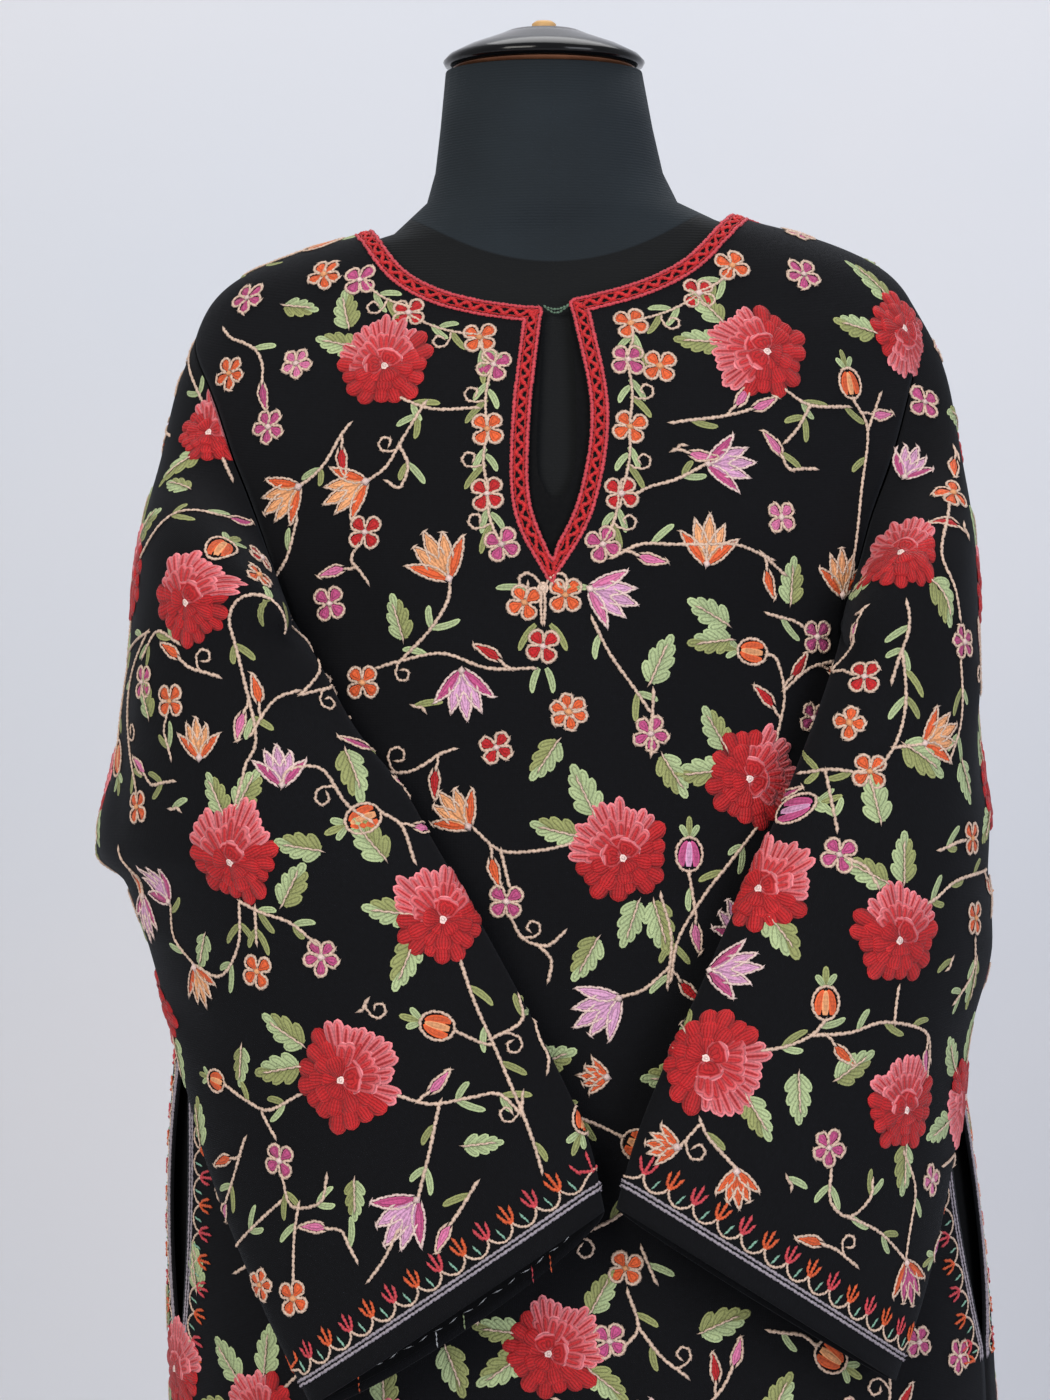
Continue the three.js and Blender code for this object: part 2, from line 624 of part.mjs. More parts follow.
function standMeshes(metal) {
  const { baseRadius, baseThick, hubRadius, hubTop, poleRadius } = stand;
  const base = turned(
    "stand_base",
    [
      { r: 0, z: 0 },
      { r: baseRadius - 2, z: 0 },
      { r: baseRadius, z: 2 },
      { r: baseRadius, z: baseThick - 3 },
      { r: baseRadius - 4, z: baseThick },
      { r: hubRadius + 14, z: baseThick + 5 },
      { r: hubRadius, z: baseThick + 12 },
      { r: hubRadius - 4, z: hubTop },
      { r: 0, z: hubTop },
    ],
    metal,
    48,
  );
  const pole = turned(
    "stand_pole",
    [
      { r: 0, z: hubTop + 0.3 },
      { r: poleRadius, z: hubTop + 0.3 },
      { r: poleRadius, z: form.bottom - 0.3 },
      { r: 0, z: form.bottom - 0.3 },
    ],
    metal,
    24,
  );
  const collarIn = poleRadius + 0.3;
  const collar = turned(
    "pole_collar",
    [
      { r: collarIn, z: form.bottom - 26 },
      { r: collarIn + 9, z: form.bottom - 26 },
      { r: collarIn + 11, z: form.bottom - 24 },
      { r: collarIn + 11, z: form.bottom - 5 },
      { r: collarIn + 26, z: form.bottom - 0.3 },
      { r: collarIn, z: form.bottom - 0.3 },
      { r: collarIn, z: form.bottom - 26 },
    ],
    metal,
    24,
  );
  return [base, pole, collar];
}

function capMeshes(gloss, wood) {
  const { neckTop, capRadius, capTop, capX } = form;
  const rim = turned(
    "neck_cap_rim",
    [
      { r: 0, z: neckTop + 0.3 },
      { r: 52, z: neckTop + 0.3 },
      { r: 53, z: neckTop + 2.3 },
      { r: 0, z: neckTop + 2.3 },
    ],
    wood,
    40,
  );
  const cap = turned(
    "neck_cap",
    [
      { r: 0, z: neckTop + 2.6 },
      { r: 53.5, z: neckTop + 2.6 },
      { r: capRadius - 1, z: neckTop + 4 },
      { r: capRadius, z: neckTop + 6 },
      { r: capRadius - 3, z: neckTop + 9.5 },
      { r: capRadius - 14, z: neckTop + 15 },
      { r: 28, z: neckTop + 21 },
      { r: 21, z: capTop },
      { r: 0, z: capTop },
    ],
    gloss,
    40,
  );
  const peg = turned(
    "cap_peg",
    [
      { r: 0, z: capTop + 0.3 },
      { r: 7, z: capTop + 0.3 },
      { r: 7, z: capTop + 4.5 },
      { r: 5, z: capTop + 6 },
      { r: 0, z: capTop + 6 },
    ],
    wood,
    16,
  );
  for (const piece of [rim, cap, peg]) piece.position.x = capX;
  return [rim, cap, peg];
}

// ---------- the whole object ----------
const finish = (color, roughness, metalness = 0) => new THREE.MeshStandardMaterial({ color, roughness, metalness });
const materials = {
  cloth: finish(0x15161b, 0.85),
  facing: finish(0x101115, 0.9),
  formCloth: finish(0x20262b, 0.9),
  gloss: finish(0x0b0a0c, 0.15),
  wood: finish(0xc49a63, 0.5),
  metal: finish(0x1c1c1e, 0.4, 0.6),
};

const pheran = new THREE.Group();
pheran.add(panelMesh("front", 14, materials.cloth));
pheran.add(panelMesh("back", 11, materials.cloth));
pheran.add(slitFacingMesh(materials.facing));
for (const side of ["right", "left"]) {
  pheran.add(sleeveMesh(side, materials.cloth));
  pheran.add(cuffFacingMesh(side, materials.facing));
  pheran.add(pocketBagMesh(side, materials.facing));
}
pheran.add(formMesh(materials.formCloth));
pheran.add(...capMeshes(materials.gloss, materials.wood));
pheran.add(...standMeshes(materials.metal));

export default pheran;
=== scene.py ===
import math
import random

import bmesh
import bpy
import numpy as np
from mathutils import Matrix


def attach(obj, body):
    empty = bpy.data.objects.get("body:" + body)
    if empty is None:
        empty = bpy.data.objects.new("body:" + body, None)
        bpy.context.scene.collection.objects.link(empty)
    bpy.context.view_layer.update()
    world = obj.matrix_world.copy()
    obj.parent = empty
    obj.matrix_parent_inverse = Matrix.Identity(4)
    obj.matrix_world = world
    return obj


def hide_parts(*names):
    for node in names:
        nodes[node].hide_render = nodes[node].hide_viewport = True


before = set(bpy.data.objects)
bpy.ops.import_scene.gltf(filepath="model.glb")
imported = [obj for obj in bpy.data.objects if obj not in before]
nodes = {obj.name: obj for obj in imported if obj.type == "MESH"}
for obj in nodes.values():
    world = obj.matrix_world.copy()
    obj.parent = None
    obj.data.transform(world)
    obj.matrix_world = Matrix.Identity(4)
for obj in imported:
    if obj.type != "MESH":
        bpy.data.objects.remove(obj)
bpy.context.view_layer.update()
dice = random.Random(11)
print("frame loaded")

# Camera and light, in metres.
view = {"distance": 2.3, "centreX": -0.016, "height": 1.1245, "fieldHeight": 0.812, "sensor": 36.0}
lights = {
    "keySoftbox": {
        "place": (-1.5, -2.6, 2.5), "target": (0, 0, 1.05), "size": (1.8, 1.8), "power": 74,
        "colour": "#fffaf2",
    },
    "fillSoftbox": {
        "place": (1.9, -2.3, 1.5), "target": (0, 0, 1.0), "size": (1.6, 2.2), "power": 48,
        "colour": "#f4f6ff",
    },
    "topSoftbox": {
        "place": (0.2, 0.6, 3.0), "target": (0, 0, 1.2), "size": (1.8, 1.4), "power": 22,
        "colour": "#ffffff",
    },
}
studio = {"colour": "#dfe3ea", "strength": 0.55}

camera = bpy.data.cameras.new("camera")
camera.sensor_fit = "VERTICAL"
camera.sensor_height = view["sensor"]
camera.lens = view["sensor"] * view["distance"] / view["fieldHeight"]
cameraObject = bpy.data.objects.new("camera", camera)
cameraObject.location = (view["centreX"], -view["distance"], view["height"])
cameraObject.rotation_euler = (math.radians(90), 0, 0)
bpy.context.collection.objects.link(cameraObject)
bpy.context.scene.camera = cameraObject


def linear(code):
    # an sRGB hex colour as linear RGBA
    parts = [int(code[i : i + 2], 16) / 255 for i in (1, 3, 5)]
    return [p / 12.92 if p <= 0.04045 else ((p + 0.055) / 1.055) ** 2.4 for p in parts] + [1.0]


def addNode(tree, kind, inputs=None, **settings):
    # adds a node, sets its own settings and then its inputs: a socket, or a node's first output, is linked,
    # and anything else is a value
    node = tree.nodes.new(kind)
    for name, value in settings.items():
        setattr(node, name, value)
    for key, value in (inputs or {}).items():
        source = value.outputs[0] if isinstance(value, bpy.types.Node) else value
        if isinstance(source, bpy.types.NodeSocket):
            tree.links.new(source, node.inputs[key])
        else:
            node.inputs[key].default_value = source
    return node


def newMaterial(name):
    material = bpy.data.materials.new(name)
    material.use_nodes = True
    material.node_tree.nodes.clear()
    return material, material.node_tree


def addLight(name, place, target, size, power, colour):
    light = bpy.data.lights.new(name, "AREA")
    light.shape = "RECTANGLE"
    light.size, light.size_y = size
    light.energy = power
    light.color = linear(colour)[:3]
    lightObject = bpy.data.objects.new(name, light)
    lightObject.location = place
    away = np.array(target, float) - np.array(place, float)
    flat = math.hypot(away[0], away[1])
    lightObject.rotation_euler = (math.atan2(flat, -away[2]), 0, math.atan2(away[1], away[0]) - math.pi / 2)
    bpy.context.collection.objects.link(lightObject)


for name, light in lights.items():
    addLight(name, **light)
world = bpy.data.worlds.new("studio")
world.use_nodes = True
glow = world.node_tree.nodes["Background"].inputs
glow["Color"].default_value = linear(studio["colour"])
glow["Strength"].default_value = studio["strength"]
bpy.context.scene.world = world
bpy.context.scene.view_settings.view_transform = "Standard"


def makeMesh(name, points, faces, material):
    # points in millimetres
    mesh = bpy.data.meshes.new(name)
    mesh.from_pydata((np.asarray(points, float) / 1000).tolist(), [], faces)
    mesh.polygons.foreach_set("use_smooth", [True] * len(mesh.polygons))
    mesh.materials.append(material)
    mesh.update()
    piece = bpy.data.objects.new(name, mesh)
    bpy.context.collection.objects.link(piece)
    return piece


# A painted wall that sweeps down into the floor, which lies a little below the stand.
backdrop = {"nearY": -3200, "wallY": 1200, "sweep": 500, "top": 4200, "halfWidth": 3500, "below": 1}


def makeBackdrop(size):
    # matt painted plaster, faintly clouded
    material, tree = newMaterial("paintedPlaster")
    place = addNode(tree, "ShaderNodeTexCoord").outputs["Object"]
    cloud = addNode(tree, "ShaderNodeTexNoise", {"Vector": place, "Scale": 1.4, "Detail": 3.0})
    shades = {"Factor": cloud, "A": linear("#c4cad3"), "B": linear("#d3d1d3")}
    tint = addNode(tree, "ShaderNodeMix", shades, data_type="RGBA").outputs["Result"]
    shader = addNode(tree, "ShaderNodeBsdfPrincipled", {"Base Color": tint, "Roughness": 0.9})
    # clear from behind, so that it hides nothing from a camera that stands there
    clear = addNode(tree, "ShaderNodeBsdfTransparent")
    rear = addNode(tree, "ShaderNodeNewGeometry").outputs["Backfacing"]
    oneWay = addNode(tree, "ShaderNodeMixShader", {0: rear, 1: shader, 2: clear})
    addNode(tree, "ShaderNodeOutputMaterial", {0: oneWay})
    sweep, start = size["sweep"], size["wallY"] - size["sweep"]
    turns = [math.radians(90 * step / 8) for step in range(9)]
    bend = [(start + sweep * math.sin(turn), sweep - sweep * math.cos(turn)) for turn in turns]
    profile = [(size["nearY"], 0), *bend, (size["wallY"], size["top"])]
    points = [(x, y, z - size["below"]) for y, z in profile for x in (-size["halfWidth"], size["halfWidth"])]
    faces = [(2 * i, 2 * i + 1, 2 * i + 3, 2 * i + 2) for i in range(len(profile) - 1)]
    makeMesh("backdrop", points, faces, material)


makeBackdrop(backdrop)
print("camera, light and backdrop made")

# The garment's surfaces, from the same sizes as the frame.
wall = 1.2
hemHeight = 290
underarmHeight = 1128
sideSeamAngle = {"hem": 74, "underarm": 66}
leftShoulder = {"rise": 8, "broaden": 0.03, "from": 1230, "to": 1350}
pocket = {"top": 936, "bottom": 758, "gape": {"right": 4.6, "left": 6}}
sides = {"right": -1, "left": 1}
columnNames = {
    "body": ("height", "halfWidth", "front", "back", "centreX"),
    "armhole": ("at", "height", "angle"),
    "neck": ("at", "x", "height"),
    "sleeve": ("at", "outOuter", "yOuter", "zOuter", "outInner", "yInner", "zInner", "facing", "bow", "half"),
    "fold": ("angle", "width", "lift", "top"),
}


def rows(kind, *values):
    # a table: one dictionary for each row of numbers
    return [dict(zip(columnNames[kind], row)) for row in values]


bodySections = rows(
    "body",
    (290, 284, 158, 152, 20),
    (500, 266, 148, 144, 20),
    (717, 246, 138, 136, 18),
    (870, 233, 132, 130, 10),
    (1000, 216, 129, 126, 4),
    (1100, 205, 127, 120, 0),
    (1170, 205, 126, 116, 0),
    (1215, 211, 123, 113, 0),
    (1255, 213, 114, 110, 0),
    (1300, 212, 99, 102, 0),
    (1325, 209, 88, 93, 0),
    (1342, 204, 78, 84, 0),
    (1356, 196, 71, 74, 0),
    (1367, 184, 66, 66, 0),
    (1377, 165, 62, 59, 0),
    (1386, 140, 60, 53, 0),
    (1393, 113, 61, 51, 0),
    (1398, 96, 63, 52, 0),
)
skirtFolds = rows(
    "fold",
    (-58, 8, 17, 820),
    (-34, 7, 15, 760),
    (-12, 6, 13, 800),
    (11, 4.5, 19, 1000),
    (31, 7, 15, 780),
    (55, 8, 18, 840),
    (96, 9, 14, 700),
    (124, 8, 18, 900),
    (152, 8, 16, 820),
    (178, 7, 19, 960),
    (-155, 8, 15, 800),
    (-128, 8, 18, 880),
    (-98, 9, 14, 720),
)
armholes = {
    "front": {
        "right": rows(
            "armhole", (0, 1342, 90), (0.17, 1304, 68), (0.33, 1257, 57), (0.5, 1225, 51.5),
            (0.66, 1191, 47.8), (0.8, 1160, 45.5), (0.9, 1136, 50), (1, 1128, 66),
        ),
        "left": rows(
            "armhole", (0, 1361, 90), (0.17, 1306, 73), (0.33, 1262, 64), (0.5, 1228, 57.5),
            (0.66, 1196, 54.5), (0.8, 1162, 52), (0.9, 1137, 55), (1, 1128, 66),
        ),
    },
    "back": {
        "right": rows(
            "armhole", (0, 1342, 90), (0.18, 1300, 106), (0.36, 1256, 112), (0.55, 1214, 114),
            (0.72, 1178, 111), (0.87, 1146, 98), (1, 1128, 66),
        ),
        "left": rows(
            "armhole", (0, 1361, 90), (0.18, 1308, 106), (0.36, 1258, 112), (0.55, 1214, 114),
            (0.72, 1178, 111), (0.87, 1146, 98), (1, 1128, 66),
        ),
    },
}
slitAndNeck = {
    "right": rows(
        "neck", (0, 2, 1203), (0.13, 13, 1236), (0.3, 12.5, 1284), (0.48, 7, 1333), (0.53, 6.5, 1342),
        (0.58, 18, 1344), (0.68, 42, 1349), (0.78, 66, 1357), (0.88, 86, 1370), (1, 104, 1395.5),
    ),
    "left": rows(
        "neck", (0, -2, 1203), (0.13, 13, 1236), (0.3, 20, 1283), (0.48, 11, 1334), (0.53, 9, 1345),
        (0.58, 20, 1348), (0.68, 42, 1353), (0.78, 61, 1360), (0.88, 78, 1371), (1, 100, 1396.5),
    ),
}
backNeck = rows("armhole", (0, 1380, 180), (0.35, 1382, 150), (0.7, 1389, 118), (1, 1395.5, 90))
sleeveLoops = {
    "right": rows(
        "sleeve",
        (0, 204, 2, 1342, 196, -35, 1150, 0, 0, 68),
        (0.1, 216, 8, 1300, 161, -113, 1172, 26, 20, 41),
        (0.2, 220, 12, 1232, 137, -124, 1150, 44, 28, 33),
        (0.32, 234, 10, 1150, 110, -132, 1108, 43, 38, 29),
        (0.43, 251, 2, 1080, 83, -139, 1076, 37, 40, 25),
        (0.5, 262, -4, 1036, 66, -143, 1047, 34, 38, 22),
        (0.545, 243, -18, 1018, 54, -146, 1027, 32, 36, 20),
        (0.65, 219, -50, 950, 30, -150, 985, 27, 30, 17),
        (0.78, 194, -88, 868, 2, -155, 932, 20, 22, 15),
        (0.9, 160, -126, 792, -18, -159, 888, 11, 14, 14),
        (1, 132, -150, 742, -27, -162, 849, 5, 9, 13),
    ),
    "left": rows(
        "sleeve",
        (0, 204, 2, 1342, 196, -35, 1150, 0, 0, 68),
        (0.1, 221, 8, 1308, 172, -96, 1165, 26, 15, 44),
        (0.2, 224, 12, 1242, 158, -113, 1140, 40, 26, 33),
        (0.32, 231, 10, 1160, 142, -123, 1104, 40, 34, 29),
        (0.43, 238, 2, 1090, 124, -124, 1062, 37, 38, 26),
        (0.52, 247, -6, 1032, 108, -132, 1028, 34, 38, 24),
        (0.6, 248, -22, 978, 94, -139, 1000, 31, 36, 22),
        (0.67, 236, -42, 934, 82, -145, 974, 28, 32, 19),
        (0.78, 225, -66, 866, 62, -153, 932, 22, 26, 16),
        (0.9, 207, -96, 798, 44, -159, 888, 16, 20, 14),
        (1, 188, -118, 750, 33, -163, 851, 11, 16, 13),
    ),
}
capBlend = 0.2
cuffDrop = {"right": 15, "left": 4, "from": 0.8}
# rows of the frame's own panels; "front" and "back" are where the slit and the back neck begin
armRows = {"below": 16, "at": 14, "crowding": 1.35, "neckCrowding": 1.2, "front": 17, "back": 23}
topRow = armRows["below"] + armRows["at"]


def between(table, key, column, x):
    # a smooth curve through one column of a table, as a function of another column
    keys = np.array([row[key] for row in table], float)
    values = np.array([row[column] for row in table], float)
    spans = np.diff(keys)
    slopes = np.diff(values) / spans
    tangents = np.concatenate([slopes[:1], (values[2:] - values[:-2]) / (keys[2:] - keys[:-2]), slopes[-1:]])
    x = np.asarray(x, float)
    i = np.clip(np.searchsorted(keys, x, side="left") - 1, 0, len(keys) - 2)
    t = np.clip((x - keys[i]) / spans[i], 0, 1)
    return (
        (2 * t**3 - 3 * t**2 + 1) * values[i]
        + (t**3 - 2 * t**2 + t) * spans[i] * tangents[i]
        + (3 * t**2 - 2 * t**3) * values[i + 1]
        + (t**3 - t**2) * spans[i] * tangents[i + 1]
    )


def ease(x, low, high):
    t = np.clip((np.asarray(x, float) - low) / (high - low), 0, 1)
    return t * t * (3 - 2 * t)


def unit(vectors):
    return vectors / np.maximum(np.linalg.norm(vectors, axis=-1, keepdims=True), 1e-9)


def bodySurface(height, angle):
    # angle is in degrees round from the centre front, + towards the wearer's left
    height, angle = np.broadcast_arrays(np.asarray(height, float), np.asarray(angle, float))
    turn = np.radians(angle)
    wide, front, back, middle = (
        between(bodySections, "height", name, height) for name in ("halfWidth", "front", "back", "centreX")
    )
    deep = np.where(np.cos(turn) >= 0, front, back)
    lift = np.zeros_like(height)
    for fold in skirtFolds:
        away = (angle - fold["angle"] + 180) % 360 - 180
        grown = 1 - ease(height, hemHeight, fold["top"])
        lift = lift + fold["lift"] * grown * (np.exp(-((away / fold["width"]) ** 2)) - 0.25)
    leftward = ease(np.sin(turn), -0.4, 0.6) * ease(height, leftShoulder["from"], leftShoulder["to"])
    wider = 1 + leftShoulder["broaden"] * leftward * np.sin(turn)
    x = middle + (wide * wider + lift) * np.sin(turn)
    y = -(deep + lift) * np.cos(turn)
    return np.stack([x, y, height + leftShoulder["rise"] * leftward], axis=-1)


def sleeveSurface(side):
    # share runs from the armhole (0) to the cuff (1); turn 0 is the overarm fold and 90 the front
    table = sleeveLoops[side]
    way = sides[side]

    def loopPoint(share, turn):
        loop = {name: between(table, "at", name, share) for name in columnNames["sleeve"][1:]}
        cos, sin = np.cos(np.radians(turn)), np.sin(np.radians(turn))
        mix = (1 + cos) / 2
        push = loop["bow"] * sin * sin + loop["half"] * sin
        facing = np.radians(loop["facing"])
        out = loop["outInner"] * (1 - mix) + loop["outOuter"] * mix + push * np.sin(facing)
        y = loop["yInner"] * (1 - mix) + loop["yOuter"] * mix - push * np.cos(facing)
        z = loop["zInner"] * (1 - mix) + loop["zOuter"] * mix
        return np.stack([way * out, y, z], axis=-1)

    def armholePoint(turn):
        share = np.where(turn <= 180, turn / 180, (360 - turn) / 180)
        spots = []
        for panel in ("front", "back"):
            edge = armholes[panel][side]
            height, angle = (between(edge, "at", name, share) for name in ("height", "angle"))
            spots.append(bodySurface(height, way * angle))
        return np.where((turn <= 180)[..., None], spots[0], spots[1])

    def surface(share, turn):
        share, turn = np.broadcast_arrays(np.asarray(share, float), np.asarray(turn, float) % 360)
        point = loopPoint(share, turn)
        stay = (1 - ease(share, 0, capBlend))[..., None]
        point = point + stay * (armholePoint(turn) - loopPoint(np.zeros_like(share), turn))
        hang = np.maximum(0, -np.sin(np.radians(turn)))
        point[..., 2] -= cuffDrop[side] * hang * ease(share, cuffDrop["from"], 1)
        return point

    return surface


# Creases: the two ends of a soft trough (-) or ridge (+), its half width and its height.
creases = [
    ((-196, -40, 1215), (-240, -66, 1060), 15, -3.4),
    ((-158, -105, 1205), (-226, -92, 1120), 13, 3.6),
    ((-236, -30, 1150), (-176, -112, 1085), 12, -3.6),
    ((-255, -30, 1065), (-150, -128, 1040), 12, 3.4),
    ((-258, -24, 1036), (-128, -140, 1012), 9, -4.2),
    ((-246, -40, 1008), (-120, -142, 975), 13, 3.0),
    ((-222, -70, 950), (-110, -150, 925), 12, -2.8),
    ((-190, -110, 880), (-60, -164, 905), 16, 2.2),
    ((-120, -150, 800), (-40, -168, 870), 14, -2.0),
    ((206, -34, 1250), (238, -66, 1090), 15, -3.4),
    ((176, -100, 1196), (232, -84, 1130), 13, 3.4),
    ((240, -40, 1120), (170, -120, 1085), 12, -3.2),
    ((250, -36, 1060), (160, -130, 1045), 13, 3.4),
    ((252, -34, 1028), (130, -142, 1012), 10, -4.0),
    ((246, -50, 985), (120, -148, 965), 13, 2.8),
    ((236, -80, 920), (96, -158, 925), 12, -2.8),
    ((214, -104, 850), (84, -162, 880), 15, 2.4),
    ((-118, -112, 1216), (-40, -128, 1120), 20, 2.2),
    ((-150, -90, 1245), (-88, -116, 1150), 17, -2.2),
    ((150, -86, 1240), (92, -116, 1120), 18, -2.2),
    ((108, -104, 1260), (52, -126, 1130), 20, 2.0),
    ((-30, -124, 1180), (-8, -130, 1010), 22, -1.6),
    ((24, -126, 1150), (36, -132, 900), 20, 1.8),
    ((66, -132, 760), (62, -150, 500), 15, 3.0),
    ((-6, -134, 790), (-20, -150, 470), 18, -2.4),
    ((-110, -118, 760), (-128, -130, 480), 20, 2.6),
    ((160, -96, 770), (182, -112, 470), 18, -2.6),
    ((-120, 86, 1300), (-70, 112, 1160), 18, -2.4),
    ((126, 84, 1300), (66, 112, 1150), 18, -2.4),
    ((-176, 60, 1180), (-110, 108, 1040), 20, 2.6),
    ((178, 58, 1180), (104, 110, 1030), 20, 2.6),
    ((0, 118, 1260), (6, 128, 980), 24, 1.8),
    ((-60, 122, 1010), (-84, 132, 700), 20, -2.6),
    ((70, 122, 980), (92, 132, 690), 20, 2.4),
    ((-214, 20, 1220), (-244, -4, 1080), 13, 3.0),
    ((222, 18, 1226), (244, -6, 1070), 13, -3.0),
    ((-226, 16, 1150), (-206, -40, 1010), 12, -2.6),
]


def creaseDepth(points):
    # a crease is deepest half-way along and fades to a quarter at its ends
    depth = np.zeros(points.shape[:-1])
    for start, end, width, height in creases:
        a, b = np.array(start, float), np.array(end, float)
        along = b - a
        share = np.clip(((points - a) @ along) / (along @ along), 0, 1)
        away = np.linalg.norm(points - (a + share[..., None] * along), axis=-1)
        taper = 0.25 + 0.75 * np.sin(np.pi * np.clip(share, 0.02, 0.98)) ** 0.6
        depth += height * taper * np.exp(-((away / width) ** 2))
    return depth


# The body and each sleeve carry a chart. A place on it is (u, q): a height or a share of the sleeve's length,
# and the way round the piece from 0 to 1.
charts = {
    "body": {
        "surface": bodySurface, "way": 1, "us": np.linspace(286, 1398, 279), "span": (-180, 180),
        "count": 512, "steps": (0.5, 0.5),
    },
}
for side, way in sides.items():
    charts[side] = {
        "surface": sleeveSurface(side), "way": way, "us": np.linspace(0.003, 1, 160), "span": (0, 360),
        "count": 256, "steps": (0.002, 0.5),
    }
bodyChart = charts["body"]
mostDiscs = 9000  # room for the discs of cloth that motifs have taken


def clothSkin(chart, u, v, inset=0):
    # the worn cloth's surface, with its creases, let in by an inset; v is the surface's own second number
    u, v = np.broadcast_arrays(np.asarray(u, float), np.asarray(v, float))
    surface, (stepU, stepV) = chart["surface"], chart["steps"]
    points = surface(u, v)
    alongU = surface(u + stepU, v) - surface(u - stepU, v)
    alongV = surface(u, v + stepV) - surface(u, v - stepV)
    normal = unit(chart["way"] * np.cross(alongV, alongU))
    return points + normal * (creaseDepth(points) - inset)[..., None]


def fillChart(chart):
    # the creased cloth on a grid whose columns are evenly spaced round the piece
    us, count = chart["us"], chart["count"]
    fine = np.linspace(*chart["span"], 721)
    base = chart["surface"](us[:, None], fine[None, :])
    steps = np.linalg.norm(np.diff(base, axis=1), axis=2)
    run = np.concatenate([np.zeros((len(us), 1)), np.cumsum(steps, axis=1)], axis=1)
    q = np.arange(count) / count
    v = np.stack([np.interp(q * row[-1], row, fine) for row in run])
    points = clothSkin(chart, us[:, None], v)
    alongU = np.gradient(points, axis=0)
    alongQ = (np.roll(points, -1, axis=1) - np.roll(points, 1, axis=1)) / 2
    normals = unit(chart["way"] * np.cross(alongQ, alongU))
    # where the camera sees each point, on the plane y = 0
    eye = np.array([view["centreX"], 0, view["height"]]) * 1000
    grow = (view["distance"] * 1000 / (view["distance"] * 1000 + points[..., 1]))[..., None]
    chart.update(q=q, v=v, points=points, normals=normals, seen=eye + (points - eye) * grow)
    chart.update(discs=np.zeros((mostDiscs, 4)), taken=0)


def rowOf(chart, u):
    # the chart's row nearest to u
    us = chart["us"]
    return np.clip(np.rint((np.asarray(u, float) - us[0]) / (us[1] - us[0])).astype(int), 0, len(us) - 1)


def onCloth(chart, u, q, lift=0.0):
    # points and normals at (u, q), raised off the cloth by lift
    us, count = chart["us"], chart["count"]
    row = np.clip((np.asarray(u, float) - us[0]) / (us[1] - us[0]), 0, len(us) - 1.0001)
    column = (np.asarray(q, float) % 1) * count
    r, c = row.astype(int), column.astype(int) % count
    fr, fc = (row - r)[..., None], (column - np.floor(column))[..., None]
    found = []
    for grid in (chart["points"], chart["normals"]):
        low = grid[r, c] * (1 - fc) + grid[r, (c + 1) % count] * fc
        high = grid[r + 1, c] * (1 - fc) + grid[r + 1, (c + 1) % count] * fc
        found.append(low * (1 - fr) + high * fr)
    normal = unit(found[1])
    return found[0] + normal * np.asarray(lift, float)[..., None], normal


def spotFrom(chart, u, q, turn=0):
    # a place for a motif: jac turns millimetres across and up the cloth into (u, q)
    stepU, stepQ = chart["us"][1] - chart["us"][0], 1 / chart["count"]
    inside = min(max(u, chart["us"][0] + stepU), chart["us"][-1] - stepU)
    alongU = (onCloth(chart, inside + stepU, q)[0] - onCloth(chart, inside - stepU, q)[0]) / (2 * stepU)
    alongQ = (onCloth(chart, u, q + stepQ)[0] - onCloth(chart, u, q - stepQ)[0]) / (2 * stepQ)
    centre, normal = onCloth(chart, u, q)
    up = np.array([0, 0, 1.0]) - normal * normal[2]
    up /= max(np.linalg.norm(up), 1e-6)
    across = np.cross(up, normal)
    square = np.array([[alongU @ alongU, alongU @ alongQ], [alongU @ alongQ, alongQ @ alongQ]])
    wanted = np.array([[alongU @ across, alongU @ up], [alongQ @ across, alongQ @ up]])
    return {
        "chart": chart, "u": float(u), "q": float(q), "turn": turn, "centre": centre,
        "across": across, "up": up, "jac": np.linalg.solve(square + np.eye(2) * 1e-9, wanted),
    }


def spotAt(chart, x, z, turn=0):
    # the spot of the cloth that shows at (x, z) from the camera, measured on the plane y = 0
    seen, points = chart["seen"], chart["points"]
    facesAway = np.where(chart["normals"][..., 1] < -0.04, 0, 400)
    score = np.hypot(seen[..., 0] - x, seen[..., 2] - z) + facesAway
    r, c = np.unravel_index(np.argmin(score), score.shape)
    r = min(max(r, 1), len(chart["us"]) - 2)
    spot = spotFrom(chart, chart["us"][r], chart["q"][c], turn)
    spot["miss"], spot["depth"] = score[r, c], points[r, c, 1]
    return spot


def spotSeen(x, z, turn=0):
    # the same, on whichever piece of cloth is in front there
    spots = [spotAt(chart, x, z, turn) for chart in charts.values()]
    near = [spot for spot in spots if spot["miss"] < 4] or [min(spots, key=lambda spot: spot["miss"])]
    return min(near, key=lambda spot: spot["depth"])


def fromSpot(spot, xy):
    # motif millimetres to (u, q), turned by the spot's own turn in degrees
    turn = math.radians(spot["turn"])
    xy = np.asarray(xy, float)
    x = xy[..., 0] * math.cos(turn) - xy[..., 1] * math.sin(turn)
    y = xy[..., 0] * math.sin(turn) + xy[..., 1] * math.cos(turn)
    jac = spot["jac"]
    return spot["u"] + jac[0, 0] * x + jac[0, 1] * y, spot["q"] + jac[1, 0] * x + jac[1, 1] * y


def spotBeside(spot, xy, turn):
    # another spot, at motif millimetres from this one
    u, q = fromSpot(spot, xy)
    return spotFrom(spot["chart"], float(u), float(q), turn)


for name, chart in charts.items():
    chart["name"] = name
    fillChart(chart)
print("cloth surfaces worked out")

# Materials. Patterns are sized in millimetres; a wave texture has about 3.2 bands to a unit.
bandsPerUnit = 3.2
chainRows = {"apart": 1.9, "loop": 2.4, "wobble": 5.0, "drift": 1.1, "fibre": 0.9}


